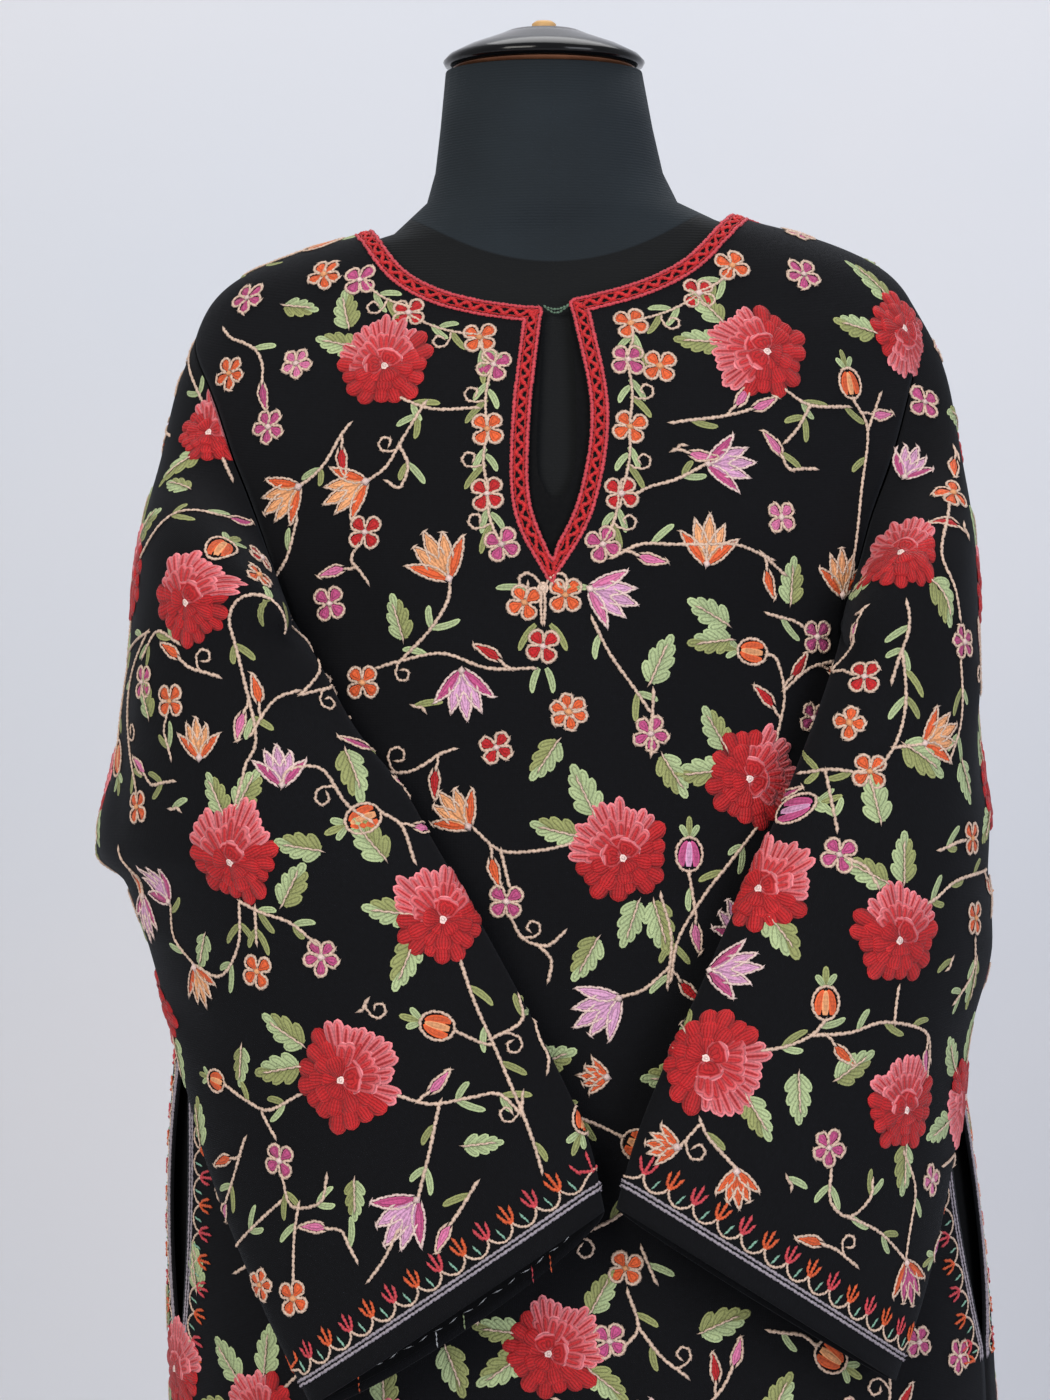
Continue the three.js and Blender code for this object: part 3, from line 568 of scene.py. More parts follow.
def makeWoolCrepe(dark, light, drawnThread):
    # wool-blend crepe, piece-dyed black: matt, a fine pebbled weave and a short nap that catches light
    material, tree = newMaterial("woolCrepe")
    cloth = addNode(tree, "ShaderNodeUVMap", uv_map="cloth")
    place = addNode(tree, "ShaderNodeTexCoord").outputs["Object"]
    # a thread is 0.35 mm; it is drawn coarser so that the weave shows
    bands = {
        "Vector": cloth, "Scale": 1000 / drawnThread / bandsPerUnit, "Distortion": 1.6, "Detail": 2.0,
        "Detail Scale": 2.0,
    }
    warp, weft = (
        addNode(tree, "ShaderNodeTexWave", bands, bands_direction=axis).outputs["Fac"] for axis in ("X", "Y")
    )
    weave = addNode(tree, "ShaderNodeMath", {0: warp, 1: weft}, operation="MULTIPLY")
    pebble = addNode(tree, "ShaderNodeTexNoise", {"Vector": place, "Scale": 1000 / 2.4, "Detail": 3.0})
    height = addNode(tree, "ShaderNodeMath", {0: weave, 1: pebble}, operation="ADD")
    bump = addNode(tree, "ShaderNodeBump", {"Strength": 0.5, "Distance": 0.00035, "Height": height})
    cloud = addNode(tree, "ShaderNodeTexNoise", {"Vector": place, "Scale": 9.0, "Detail": 4.0})
    tone = addNode(tree, "ShaderNodeMath", {0: cloud, 1: pebble}, operation="MULTIPLY")
    shades = {"Factor": tone, "A": linear(dark), "B": linear(light)}
    colour = addNode(tree, "ShaderNodeMix", shades, data_type="RGBA").outputs["Result"]
    shader = addNode(
        tree, "ShaderNodeBsdfPrincipled",
        {"Base Color": colour, "Normal": bump, "Roughness": 0.9, "Specular IOR Level": 0.15,
         "Sheen Weight": 0.07, "Sheen Roughness": 0.4, "Sheen Tint": linear("#aeb6c4")},
    )
    addNode(tree, "ShaderNodeOutputMaterial", {0: shader})
    return material


def makeThread(name, byStitch):
    # spun rayon embroidery thread: soft lustre, a slight fuzz, its own shade on each stitch
    material, tree = newMaterial(name)
    place = addNode(tree, "ShaderNodeTexCoord").outputs["Object"]
    shade = addNode(tree, "ShaderNodeAttribute", attribute_name="thread").outputs["Color"]
    fibre = addNode(
        tree, "ShaderNodeTexNoise", {"Vector": place, "Scale": 1000 / chainRows["fibre"], "Detail": 2.0}
    )
    height = tone = fibre
    if not byStitch:
        # rows of chain stitch follow the petal's outline, drifting a little, with a loop at each stitch
        stitch = addNode(tree, "ShaderNodeUVMap", uv_map="stitch")
        parts = addNode(tree, "ShaderNodeSeparateXYZ", {0: stitch})
        wobble = addNode(
            tree, "ShaderNodeTexNoise", {"Vector": stitch, "Scale": 1000 / chainRows["wobble"], "Detail": 1.0}
        )
        sway = {0: wobble, 1: chainRows["drift"] / 1000}
        drift = addNode(tree, "ShaderNodeMath", sway, operation="MULTIPLY")
        across = addNode(tree, "ShaderNodeMath", {0: parts.outputs["Y"], 1: drift}, operation="ADD")
        hills = []
        for line, gap in ((across, chainRows["apart"]), (parts.outputs["X"], chainRows["loop"])):
            turn = addNode(tree, "ShaderNodeMath", {0: line, 1: math.pi * 1000 / gap}, operation="MULTIPLY")
            wave = addNode(tree, "ShaderNodeMath", {0: turn}, operation="SINE")
            hills.append(addNode(tree, "ShaderNodeMath", {0: wave}, operation="ABSOLUTE"))
        loops = addNode(tree, "ShaderNodeMath", {0: hills[1], 1: 0.35}, operation="MULTIPLY")
        relief = addNode(tree, "ShaderNodeMath", {0: hills[0], 1: loops}, operation="ADD")
        height = addNode(tree, "ShaderNodeMath", {0: relief, 1: fibre}, operation="ADD")
        tone = addNode(tree, "ShaderNodeMapRange", {"Value": relief, "From Min": 0.1, "From Max": 1.2})
    bump = addNode(tree, "ShaderNodeBump", {"Strength": 0.75, "Distance": 0.0006, "Height": height})
    darker = {"Factor": 0.42, "A": shade, "B": linear("#120a0c")}  # threads shade each other
    low = addNode(tree, "ShaderNodeMix", darker, data_type="RGBA").outputs["Result"]
    shades = {"Factor": tone, "A": low, "B": shade}
    colour = addNode(tree, "ShaderNodeMix", shades, data_type="RGBA").outputs["Result"]
    shader = addNode(
        tree, "ShaderNodeBsdfPrincipled",
        {"Base Color": colour, "Normal": bump, "Roughness": 0.6, "Specular IOR Level": 0.3,
         "Sheen Weight": 0.08, "Sheen Roughness": 0.5, "Sheen Tint": linear("#ffffff")},
    )
    addNode(tree, "ShaderNodeOutputMaterial", {0: shader})
    return material


woolCrepe = makeWoolCrepe("#050507", "#0f1014", 0.9)
rayonFill = makeThread("rayonFill", False)
rayonChain = makeThread("rayonChain", True)
print("thread and cloth materials made")


# The cloth shells.
def clothWall(name, outer, inner, quads, uvs):
    # a closed thin wall: the outer skin, the inner skin and a strip round every open edge
    count = len(outer)
    edges = np.concatenate([quads[:, [i, (i + 1) % 4]] for i in range(4)])
    corners = np.concatenate([uvs[:, [i, (i + 1) % 4]] for i in range(4)])
    rim = ~np.isin(edges[:, 0] * count + edges[:, 1], edges[:, 1] * count + edges[:, 0])
    rims, rimUvs = edges[rim], corners[rim]
    strip = np.stack([rims[:, 1], rims[:, 0], rims[:, 0] + count, rims[:, 1] + count], axis=1)
    stripUvs = np.stack([rimUvs[:, 1], rimUvs[:, 0], rimUvs[:, 0], rimUvs[:, 1]], axis=1)
    faces = np.concatenate([quads, quads[:, ::-1] + count, strip])
    piece = makeMesh(name, np.concatenate([outer, inner]), faces.tolist(), woolCrepe)
    isSmooth = np.ones(len(faces), bool)
    isSmooth[-len(strip) :] = False
    piece.data.polygons.foreach_set("use_smooth", isSmooth)
    allUvs = np.concatenate([uvs, uvs[:, ::-1], stripUvs]).reshape(-1) / 1000
    piece.data.uv_layers.new(name="cloth").data.foreach_set("uv", allUvs)
    grid = outer[quads]
    area = np.linalg.norm(np.cross(grid[:, 2] - grid[:, 0], grid[:, 3] - grid[:, 1]), axis=1).sum() / 2
    return piece, area / 1e6


def gridQuads(rowCount, columnCount, flip):
    # (row, column) pairs of each face's corners
    r, c = (grid.ravel() for grid in np.meshgrid(np.arange(rowCount), np.arange(columnCount), indexing="ij"))
    corners = np.stack([[r, c], [r, c + 1], [r + 1, c + 1], [r + 1, c]]).transpose(2, 0, 1)
    return corners[:, ::-1] if flip else corners


def seamAngle(height):
    hem, underarm = sideSeamAngle["hem"], sideSeamAngle["underarm"]
    return hem + (underarm - hem) * ease(height, pocket["top"], underarmHeight)


def rowHeight(row):
    return hemHeight + (underarmHeight - hemHeight) * np.clip(row / armRows["below"], 0, 1)


def outerEdge(side, panel, row):
    # the side seam, opened at the pocket, and then the armhole; row is the frame's own row number
    away = -1 if panel == "front" else 1
    height = rowHeight(row)
    share = np.clip((height - pocket["bottom"]) / (pocket["top"] - pocket["bottom"]), 0, 1)
    gape = pocket["gape"][side] * np.sin(np.pi * share) ** 0.8
    angle = seamAngle(height) + away * (0.083 + gape)
    at = np.clip((topRow - row) / armRows["at"], 0, 1) ** armRows["crowding"]
    table = armholes[panel][side]
    topGap = np.where(at < 1e-6, away * 0.25, 0)
    above = row > armRows["below"]
    return (
        np.where(above, between(table, "at", "angle", at) + topGap, angle),
        np.where(above, between(table, "at", "height", at), height),
    )


def innerEdge(side, panel, row):
    # the centre line, and then the slit and neckline, or the back neck
    start = armRows[panel]
    table = slitAndNeck[side] if panel == "front" else backNeck
    share = np.clip((row - armRows["below"]) / (start - armRows["below"]), 0, 1)
    toStart = underarmHeight + (table[0]["height"] - underarmHeight) * share
    height = np.where(row <= armRows["below"], rowHeight(row), toStart)
    at = 1 - (1 - np.clip((row - start) / (topRow - start), 0, 1)) ** armRows["neckCrowding"]
    topGap = np.where(np.abs(row - topRow) < 1e-6, 0.25, 0)
    edgeHeight = between(table, "at", "height", at)
    if panel == "front":
        wide = between(bodySections, "height", "halfWidth", edgeHeight)
        across = np.degrees(np.arcsin(np.clip(between(table, "at", "x", at) / wide, -1, 1)))
        angle = np.where(topGap > 0, 90 - topGap, across)
    else:
        angle = between(table, "at", "angle", at) + topGap
    above = row > start + 1e-6
    return np.where(above, angle, 0.0 if panel == "front" else 180.0), np.where(above, edgeHeight, height)


# faces across half a panel, up to the underarm, between there and the neck's opening, and above it
panelGrid = {
    "front": {"columns": 60, "below": 96, "between": 8, "above": 84},
    "back": {"columns": 46, "below": 70, "between": 30, "above": 60},
}
clothPerDegree = 3.6


def panelPiece(panel):
    start, grid = armRows[panel], panelGrid[panel]
    rowAt = np.concatenate([
        np.linspace(0, armRows["below"], grid["below"], endpoint=False),
        np.linspace(armRows["below"], start, grid["between"], endpoint=False),
        np.linspace(start, topRow, grid["above"]),
    ])
    number, skins, unders, quads, uvs = {}, [], [], [], []
    for side, way in sides.items():
        outAngle, outHeight = outerEdge(side, panel, rowAt)
        inAngle, inHeight = innerEdge(side, panel, rowAt)
        share = (np.arange(grid["columns"] + 1) / grid["columns"]) ** 0.85
        angle = outAngle[:, None] * (1 - share) + inAngle[:, None] * share
        height = outHeight[:, None] * (1 - share) + inHeight[:, None] * share
        number[side] = np.arange(angle.size).reshape(angle.shape) + sum(len(skin) for skin in skins)
        skins.append(clothSkin(bodyChart, height, way * angle).reshape(-1, 3))
        unders.append(clothSkin(bodyChart, height, way * angle, wall).reshape(-1, 3))
        if side == "left":  # both halves share the centre line, up to the opening
            shared = rowAt <= start + 1e-6
            number[side][shared, -1] = number["right"][shared, -1]
        pairs = gridQuads(len(rowAt) - 1, grid["columns"], (side == "left") != (panel == "back"))
        quads.append(number[side][pairs[:, :, 0], pairs[:, :, 1]])
        flat = np.stack([way * angle * clothPerDegree, height], axis=-1)
        uvs.append(flat[pairs[:, :, 0], pairs[:, :, 1]])
    skin, under, quads, uvs = map(np.concatenate, (skins, unders, quads, uvs))
    return clothWall(f"{panel}Cloth", skin, under, quads, uvs)


sleeveGrid = {"rows": 130, "around": 112, "gap": 0.003, "crowding": 1.15, "round": 430.0, "long": 610.0}


def sleevePiece(side, size):
    # columns crowd towards the overarm fold
    rowCount, around = size["rows"], size["around"]
    share = np.concatenate([[size["gap"]], np.linspace(0, 1, rowCount + 1)[1:]])[:, None]
    step = np.linspace(0, 1, around // 2 + 1) ** size["crowding"]
    turn = 180 * np.concatenate([step, 2 - step[::-1][1:-1]])
    skin, under = (clothSkin(charts[side], share, turn, inset).reshape(-1, 3) for inset in (0, wall))
    pairs = gridQuads(rowCount, around, side == "right")
    quads = pairs[:, :, 0] * around + pairs[:, :, 1] % around
    across, along = pairs[:, :, 1] * size["round"] / around, pairs[:, :, 0] * size["long"] / rowCount
    return clothWall(f"{side}SleeveCloth", skin, under, quads, np.stack([across, along], axis=-1))


cloths = {panel: panelPiece(panel) for panel in ("front", "back")}
cloths |= {side: sleevePiece(side, sleeveGrid) for side in sides}
print("cloth shells made, in square metres:", *(round(area, 3) for _, area in cloths.values()))

# Embroidery: the threads, and what is drawn on each piece of cloth.
threadCodes = {
    "cream": "#dfc1ab", "shell": "#eccfc6", "crimson": "#ba1218", "scarlet": "#cf2024", "wine": "#6d0a12",
    "rose": "#d2434e", "blush": "#ea848a", "orange": "#de5c2a", "apricot": "#eaa470", "magenta": "#bb4a7e",
    "pink": "#d873a0", "lilac": "#d39bbf", "olive": "#91965c", "mint": "#a8b886", "grey": "#a39aa3",
    "sea": "#86b8a0", "white": "#c4c6c8", "green": "#5d7a63",
}
thread = {name: np.array(linear(code)[:3]) for name, code in threadCodes.items()}
listNames = ("points", "faces", "uvs", "shades", "at", "along", "up", "tints", "sizes")
drawings = {name: {key: [] for key in listNames} | {"count": 0} for name in cloths}


def drawingFor(chart, point):
    # the body's chart is shared by the front and the back
    if chart is bodyChart:
        return drawings["front" if point[1] < 0 else "back"]
    return drawings[chart["name"]]


def isClear(chart, point, radius):
    # whether no disc of cloth that already carries a motif is near
    discs = chart["discs"][: chart["taken"]]
    return bool(np.all(np.linalg.norm(discs[:, :3] - point, axis=1) > radius + discs[:, 3]))


def take(chart, points, radius):
    # marks a disc of cloth round each point as taken
    points = np.atleast_2d(points)
    end = chart["taken"] + len(points)
    chart["discs"][chart["taken"] : end, :3] = points
    chart["discs"][chart["taken"] : end, 3] = radius
    chart["taken"] = end


def runAlong(points):
    # how far along a line each of its points lies
    return np.concatenate([[0], np.cumsum(np.linalg.norm(np.diff(points, axis=0), axis=1))])


# each outline: places along the petal, and its half width there as a share of the widest
arc = np.linspace(0, 1, 13)
petalOutline = {
    "lobe": ((0, 0.25, 0.5, 0.68, 0.82, 0.92, 0.98, 1), (0.3, 0.62, 0.92, 1, 0.88, 0.62, 0.32, 0)),
    "clover": ((0, 0.2, 0.45, 0.7, 0.86, 0.95, 1), (0.25, 0.5, 0.88, 1, 0.82, 0.5, 0)),
    "leaf": ((0, 0.2, 0.45, 0.75, 1), (0.25, 0.8, 1, 0.66, 0)),
    "drop": ((0, 0.12, 0.35, 0.7, 1), (0.2, 0.72, 1, 0.55, 0)),
    "finger": ((0, 0.15, 0.5, 0.82, 0.94, 1), (0.6, 0.9, 1, 0.9, 0.6, 0)),
    "disc": (arc, np.sqrt(1 - (2 * arc - 1) ** 2)),
}


def petalFrame(base, tip, bend, s):
    # the middle line of a petal and its sideways direction
    base, tip = np.array(base, float), np.array(tip, float)
    length = float(np.hypot(*(tip - base)))
    ahead = (tip - base) / length
    aside = np.array([-ahead[1], ahead[0]])
    return base + (tip - base) * s + aside * bend * s * s, aside, length


def patch(spot, base, tip, half, colour, lift, rise, bend=0.0, kind="finger", deep=0.85, grid=(5, 2),
          core=None, crevice=1.0, isRound=True):
    # a filled petal, domed over what is below: rows of chain stitch follow its outline or run along it
    share = np.linspace(0, 1, grid[0] + 1)[:, None]
    s = share if kind == "disc" else 1 - (1 - share) ** 1.5
    t = np.linspace(-1, 1, grid[1] + 1)[None, :]
    middle, aside, length = petalFrame(base, tip, bend, s)
    width = half * np.interp(s, *petalOutline[kind])
    u, q = fromSpot(spot, middle[:, None, :] + (width * t)[..., None] * aside)
    inward = np.minimum(width * (1 - np.abs(t)), (1 - s) * length)
    if kind == "disc":
        inward = np.minimum(inward, s * length)
    dome = (1 - np.abs(t) ** 2.4) * np.clip(np.minimum((1 - s) / 0.16, (s + 0.1) / 0.16), 0, 1) ** 0.6
    points, _ = onCloth(spot["chart"], u, q, lift - 0.3 + rise * dome)
    drawing = drawingFor(spot["chart"], spot["centre"])
    columns = grid[1] + 1
    r, c = np.meshgrid(np.arange(grid[0]), np.arange(grid[1]), indexing="ij")
    corner = (r * columns + c).ravel() + drawing["count"]
    # painted shade: the petal is darker at its foot and in the crevices along its sides, and its core takes a
    # deeper thread
    sideShade = (1 - crevice) * np.abs(t) ** 2 * np.clip((0.98 - s) / 0.25, 0, 1)
    fades = (deep + (1 - deep) * s**0.7) * (1 - sideShade)
    inner = np.clip((inward - 1.5) / 1.4, 0, 1).reshape(-1, 1)
    tint = (thread[colour] * (1 - inner) + thread[core or colour] * inner) * dice.uniform(0.9, 1.1)
    drawing["points"].append(points.reshape(-1, 3))
    drawing["faces"].append(np.stack([corner, corner + columns, corner + columns + 1, corner + 1], axis=1))
    side = inward if isRound else half * t + 0 * s
    drawing["uvs"].append(np.stack([s * length + 0 * t, side], axis=-1).reshape(-1, 2))
    drawing["shades"].append(fades.reshape(-1, 1) * tint)
    drawing["count"] += columns * (grid[0] + 1)


def strand(drawing, points, normals, colour, gauge, pitch):
    # one bead for each pair of points, leaning a little to the other side of the last
    count = len(points) // 2
    along = unit(points[count:] - points[:count])
    normal = normals[:count]
    lean = np.radians(10) * np.where(np.arange(count) % 2, 1, -1)[:, None]
    drawing["at"].append((points[count:] + points[:count]) / 2)
    drawing["along"].append(along * np.cos(lean) + np.cross(normal, along) * np.sin(lean))
    drawing["up"].append(normal)
    tints = np.array([dice.uniform(0.86, 1.1) for _ in range(count)])[:, None]
    drawing["tints"].append(thread[colour] * tints)
    drawing["sizes"].append(np.tile([gauge * 0.8, gauge * 1.12, pitch * 2.7], (count, 1)))


def stitchLine(chart, uq, colour, gauge, lift, pitch=2.4):
    # chain stitch along a line of (u, q)
    uq = np.asarray(uq, float)
    place = np.linspace(0, len(uq) - 1, max(2, len(uq) * 3))
    u, q = (np.interp(place, np.arange(len(uq)), column) for column in uq.T)
    run = runAlong(onCloth(chart, u, q)[0])
    count = max(1, round(run[-1] / pitch))
    at = (np.arange(count) + 0.5) / count * run[-1]
    at = np.concatenate([at - 0.3, at + 0.3])
    points, normals = onCloth(chart, np.interp(at, run, u), np.interp(at, run, q), lift + 0 * at)
    strand(drawingFor(chart, points[0]), points, normals, colour, gauge, pitch)


def drawn(spot, xy, colour, gauge, lift=0.5, pitch=2.2):
    # chain stitch along a line of motif millimetres
    stitchLine(spot["chart"], np.stack(fromSpot(spot, xy), axis=1), colour, gauge, lift, pitch)


def polar(radius, degrees):
    return np.array([radius * math.cos(math.radians(degrees)), radius * math.sin(math.radians(degrees))])


def ahead(spot, reach):
    # the place that lies a little way out from a spot, in its own direction
    x, y = polar(reach, spot["turn"])
    return spot["centre"] + spot["across"] * x + spot["up"] * y


# how far ahead of its foot each piece needs clear cloth, and the radius of it
room = {"flower": (13, 13), "blossom": (8, 8.5), "bud": (5, 4), "sprout": (9, 3.4), "leaf": (16, 4)}


def hasRoom(spot, kind):
    reach, radius = room[kind]
    return isClear(spot["chart"], ahead(spot, reach), radius)


def moved(spot, reach, turn):
    # the (u, q) that lies a little way off from a spot
    move = spot["jac"] @ polar(reach, turn)
    return spot["u"] + move[0], spot["q"] + move[1]


def outlined(spot, base, tip, half, colour, kind="clover", bend=0.0, edge="cream", gauge=1.7, start=0.03,
             gap=0.8):
    # a small petal with a row of chain stitch round it
    patch(spot, base, tip, half, colour, 0.2, 0.9, bend, kind, grid=(5, 4))
    s = 1 - (1 - np.linspace(start, 1, 8)[:, None]) ** 1.5
    middle, aside, _ = petalFrame(base, tip, bend, s)
    width = half * np.interp(s, *petalOutline[kind]) + gap
    top = middle[-1:] + np.array([aside[1], -aside[0]]) * gap
    ring = np.concatenate([middle + aside * width, top, (middle - aside * width)[::-1]])
    drawn(spot, ring, edge, gauge, 0.6, 2.3)


def knot(spot, xy, colour, radius):
    reach = np.array([radius * 0.6, 0])
    drawn(spot, [xy - reach, xy + reach], colour, radius * 2, 0.9, radius)


# Embroidery: the motifs, each on a spot whose turn sets its own direction. A rose has rings of lobes, and
# pairs of rose-pink loops on the side that it turns to.
roseRings = (
    {"count": 17, "from": 0.36, "to": 1.0, "half": 1.02, "lift": 0.25, "rise": 1.6},
    {"count": 11, "from": 0.2, "to": 0.72, "half": 0.9, "lift": 0.95, "rise": 1.5},
    {"count": 6, "from": 0.06, "to": 0.42, "half": 0.7, "lift": 1.6, "rise": 1.1},
)
# both also set each petal's painted shade, at its foot and in the crevices along its sides
rosePink = {"kind": "finger", "deep": 0.72, "grid": (7, 4), "core": "crimson", "crevice": 0.75}
roseRed = {"kind": "lobe", "deep": 0.75, "grid": (7, 4), "core": "crimson", "crevice": 0.3, "isRound": False}
pinkWithin = 72


def rose(spot, size):
    take(spot["chart"], spot["centre"], size * 0.95)
    middle = np.array([-0.15 * size, 0])
    left, right = middle - (0.5 * size, 0), middle + (0.6 * size, 0)
    # a wine-dark disc under the lobes: painted shade that shows as dark crimson in the gaps between them
    patch(spot, left, right, 0.5 * size, "wine", 0.2, 0.5, 0, "disc", 0.9, (7, 4))
    wave = dice.uniform(0, 360)
    for ring in roseRings:
        start = dice.uniform(0, 20)
        for step in range(ring["count"]):
            middleAngle = (start + 360 * step / ring["count"] + dice.uniform(-2, 2) + 180) % 360 - 180
            isPink = abs(middleAngle) < pinkWithin
            spread = 90 / ring["count"]
            for angle in (middleAngle - spread, middleAngle + spread) if isPink else (middleAngle,):
                uneven = dice.uniform(-0.08, 0.05) if isPink else dice.uniform(-0.03, 0.03)
                reach = 0.95 + 0.075 * math.cos(math.radians(5 * middleAngle + wave)) + uneven
                rim = polar(size * reach, angle + dice.uniform(-2, 2))
                base = middle + (rim - middle) * ring["from"]
                tip = middle + (rim - middle) * ring["to"]
                half = size * math.sin(math.pi / ring["count"]) * ring["half"]
                lift = ring["lift"] + 0.5 * (step % 2)
                if isPink:
                    patch(spot, base, tip, half * 0.64, "blush", lift, ring["rise"], **rosePink)
                else:
                    shade = dice.choice(("crimson", "scarlet", "crimson"))
                    patch(spot, base, tip, half, shade, lift, ring["rise"], **roseRed)
    patch(spot, middle - (2.6, 0), middle + (2.7, 0), 2.4, "shell", 2.4, 0.9, 0, "disc", 0.95, (4, 4))


def blossom(spot, colour, petals=4, size=14.0):
    take(spot["chart"], spot["centre"], size * 0.86)
    for step in range(petals):
        angle = 45 + 360 * step / petals + dice.uniform(-7, 7)
        half = size * (0.235 if petals == 4 else 0.19)
        tip = polar(size * dice.uniform(0.66, 0.72), angle)
        outlined(spot, polar(size * 0.1, angle), tip, half, colour)
    knot(spot, np.zeros(2), "apricot" if colour == "orange" else "shell", 2.0)


def lily(spot, colour, size=26.0, inner=None):
    # two petals that curve out and three in a fan between them; the spot is the calyx
    size = size * 1.14
    take(spot["chart"], ahead(spot, size / 2), size * 0.5)
    edge = "cream" if colour == "orange" else "shell"
    for angle, share, half in ((-14, 0.84, 0.115), (15, 0.86, 0.115), (1, 0.96, 0.125)):
        base, tip = polar(size * 0.12, angle), polar(size * share, angle * 1.3)
        outlined(spot, base, tip, size * half, inner or colour, "leaf", 0, edge, 1.5, 0.3, 0.5)
    for way in (-1, 1):
        base, tip = polar(size * 0.06, way * 40), polar(size * 0.78, way * 36)
        outlined(spot, base, tip, size * 0.1, colour, "leaf", way * size * 0.1, edge, 1.5, 0.03, 0.5)
    knot(spot, polar(1.4, 0), "shell", 2.2)


def pod(spot, colour, size=24.0):
    # an oval bud: narrow petals inside a ring, and a tuft of leaf at its end
    take(spot["chart"], ahead(spot, size * 0.6), size * 0.62)
    turns = np.linspace(0, 2 * math.pi, 19)
    ring = [(size * (0.46 - 0.45 * math.cos(turn)), size * 0.36 * math.sin(turn)) for turn in turns]
    drawn(spot, ring, "cream", 1.7, 0.6)
    second = "apricot" if colour == "orange" else "lilac"
    for aside, shade in ((-0.21, colour), (0.21, colour), (0, second)):
        start, end = np.array([0.14, aside * 0.9]) * size, np.array([0.8, aside * 1.25]) * size
        patch(spot, start, end, size * 0.11, shade, 0.3, 0.9, -aside * size * 0.9, grid=(6, 3))
    for angle, tuft, reach in ((-34, "mint", 0.42), (2, "olive", 0.58), (36, "mint", 0.42)):
        base = np.array([size * 0.86, 0]) + polar(0.8, angle)
        patch(spot, base, base + polar(size * reach, angle), size * 0.1, tuft, 0.2, 0.8)


def bud(spot, colour):
    size = 16.0
    take(spot["chart"], ahead(spot, size / 2), size * 0.45)
    outlined(spot, (0.3, 0), (size, 0), size * 0.17, colour, "drop", size * 0.14, "cream", 1.5, 0.03, 0.6)


def leaf(spot, size=29.0):
    # a toothed leaf of finger-shaped rows, mint on one side of its vein and olive on the other
    take(spot["chart"], ahead(spot, size / 2), size * 0.45)
    shades = dice.choice((("mint", "olive"), ("olive", "mint"), ("mint", "mint"), ("mint", "olive")))
    for way, colour in zip((1, -1), shades):
        side = np.array([0, way * size * 0.08])
        patch(spot, side, (size * 0.86, 0) + side * 0.5, size * 0.12, colour, 0.15, 0.5, kind="leaf")
        for share, reach, angle in ((0.04, 0.4, 52), (0.25, 0.43, 42), (0.47, 0.38, 31)):
            start = np.array([size * share, 0])
            end = start + polar(size * reach, way * angle)
            patch(spot, start, end, size * 0.095, colour, 0.35, 0.8, -way * size * 0.07)
    patch(spot, (size * 0.6, 0), (size, 0), size * 0.09, shades[0], 0.4, 0.8)
    drawn(spot, [(-1, 0), (size * 0.74, size * 0.02)], "cream", 1.2, 1.15, 2.6)


def smallLeaf(spot, colour, size, bend):
    patch(spot, (0, 0), (size, 0), 2.1, colour, 0.25, 0.8, bend, grid=(6, 2))


def curl(spot, size, way):
    # a crook: a short stalk that ends in an open spiral
    stalk = np.array([size * 1.2, 0])
    take(spot["chart"], ahead(spot, size * 1.3), size * 1.2)
    spiral = [
        stalk + (0, way * size) + polar(size * (1 - 0.56 * turn), way * (330 * turn - 90))
        for turn in np.linspace(0, 1, 18)
    ]
    drawn(spot, [(0, 0), stalk * 0.5 - (0, way * 0.6), *spiral], "cream", 1.5)


def smooth(anchors):
    # a Catmull-Rom line through the anchors, in eight pieces from one to the next
    anchors = np.asarray(anchors, float)
    padded = np.concatenate([2 * anchors[:1] - anchors[1:2], anchors, 2 * anchors[-1:] - anchors[-2:-1]])
    found = []
    for a, b, c, d in zip(padded, padded[1:], padded[2:], padded[3:]):
        for t in np.arange(8) / 8:
            curved = (2 * a - 5 * b + 4 * c - d) * t**2 + (3 * b - a - 3 * c + d) * t**3
            found.append(0.5 * (2 * b + (c - a) * t + curved))
    return np.array([*found, anchors[-1]])


def headingOf(chart, uq):
    # the direction in which a line leaves its last point, in degrees in that spot's own frame
    along = np.linalg.solve(spotFrom(chart, *uq[-1])["jac"], uq[-1] - uq[-2])
    return math.degrees(math.atan2(along[1], along[0]))


# sprouts are leaves, some with a twin, then buds, then curls
stemSizes = {
    "gauge": 2.05, "lift": 0.55, "pitch": 2.6, "takes": 1.8, "sproutTakes": 5.0,
    "leaves": 0.72, "twins": 0.45, "leavesAndBuds": 0.88,
}


def stem(chart, uq, leafGap=22.0):
    # a stem with small leaves, buds and curls on both sides where there is room for them
    size, line = stemSizes, smooth(uq)
    stitchLine(chart, line, "cream", size["gauge"], size["lift"], size["pitch"])
    points, _ = onCloth(chart, *line.T)
    run = runAlong(points)
    at = leafGap * dice.uniform(0.3, 0.6)
    way = dice.choice((1, -1))
    while at < run[-1] - 4:
        i = int(np.searchsorted(run, at))
        heading = headingOf(chart, line[max(i - 1, 0) : i + 1]) if i else 0
        spot = spotFrom(chart, *line[i], heading + way * dice.uniform(32, 58))
        if hasRoom(spot, "sprout"):
            growth = dice.random()
            if growth < size["leaves"]:
                colour, long = dice.choice(("olive", "mint")), dice.uniform(12, 17)
                smallLeaf(spot, colour, long, -way * dice.uniform(2, 4.5))
                if dice.random() < size["twins"]:
                    twin = spotFrom(chart, *line[i], heading - way * dice.uniform(35, 60))
                    smallLeaf(twin, dice.choice(("olive", "mint")), dice.uniform(9, 13), way * 2.6)
            elif growth < size["leavesAndBuds"]:
                stalk = polar(8, 0)
                drawn(spot, [(0, 0), stalk * 0.5 + (0, 0.6), stalk], "cream", 1.8)
                bud(spotBeside(spot, stalk, spot["turn"]), dice.choice(("orange", "pink", "crimson")))
            else:
                curl(spot, dice.uniform(4.5, 6), way)
            take(chart, ahead(spot, room["sprout"][0]), size["sproutTakes"])
        take(chart, points[max(i - 2, 0) : i + 1], 2.0)
        at += leafGap * dice.uniform(0.7, 1.3)
        way = -way
    take(chart, points[::3], size["takes"])


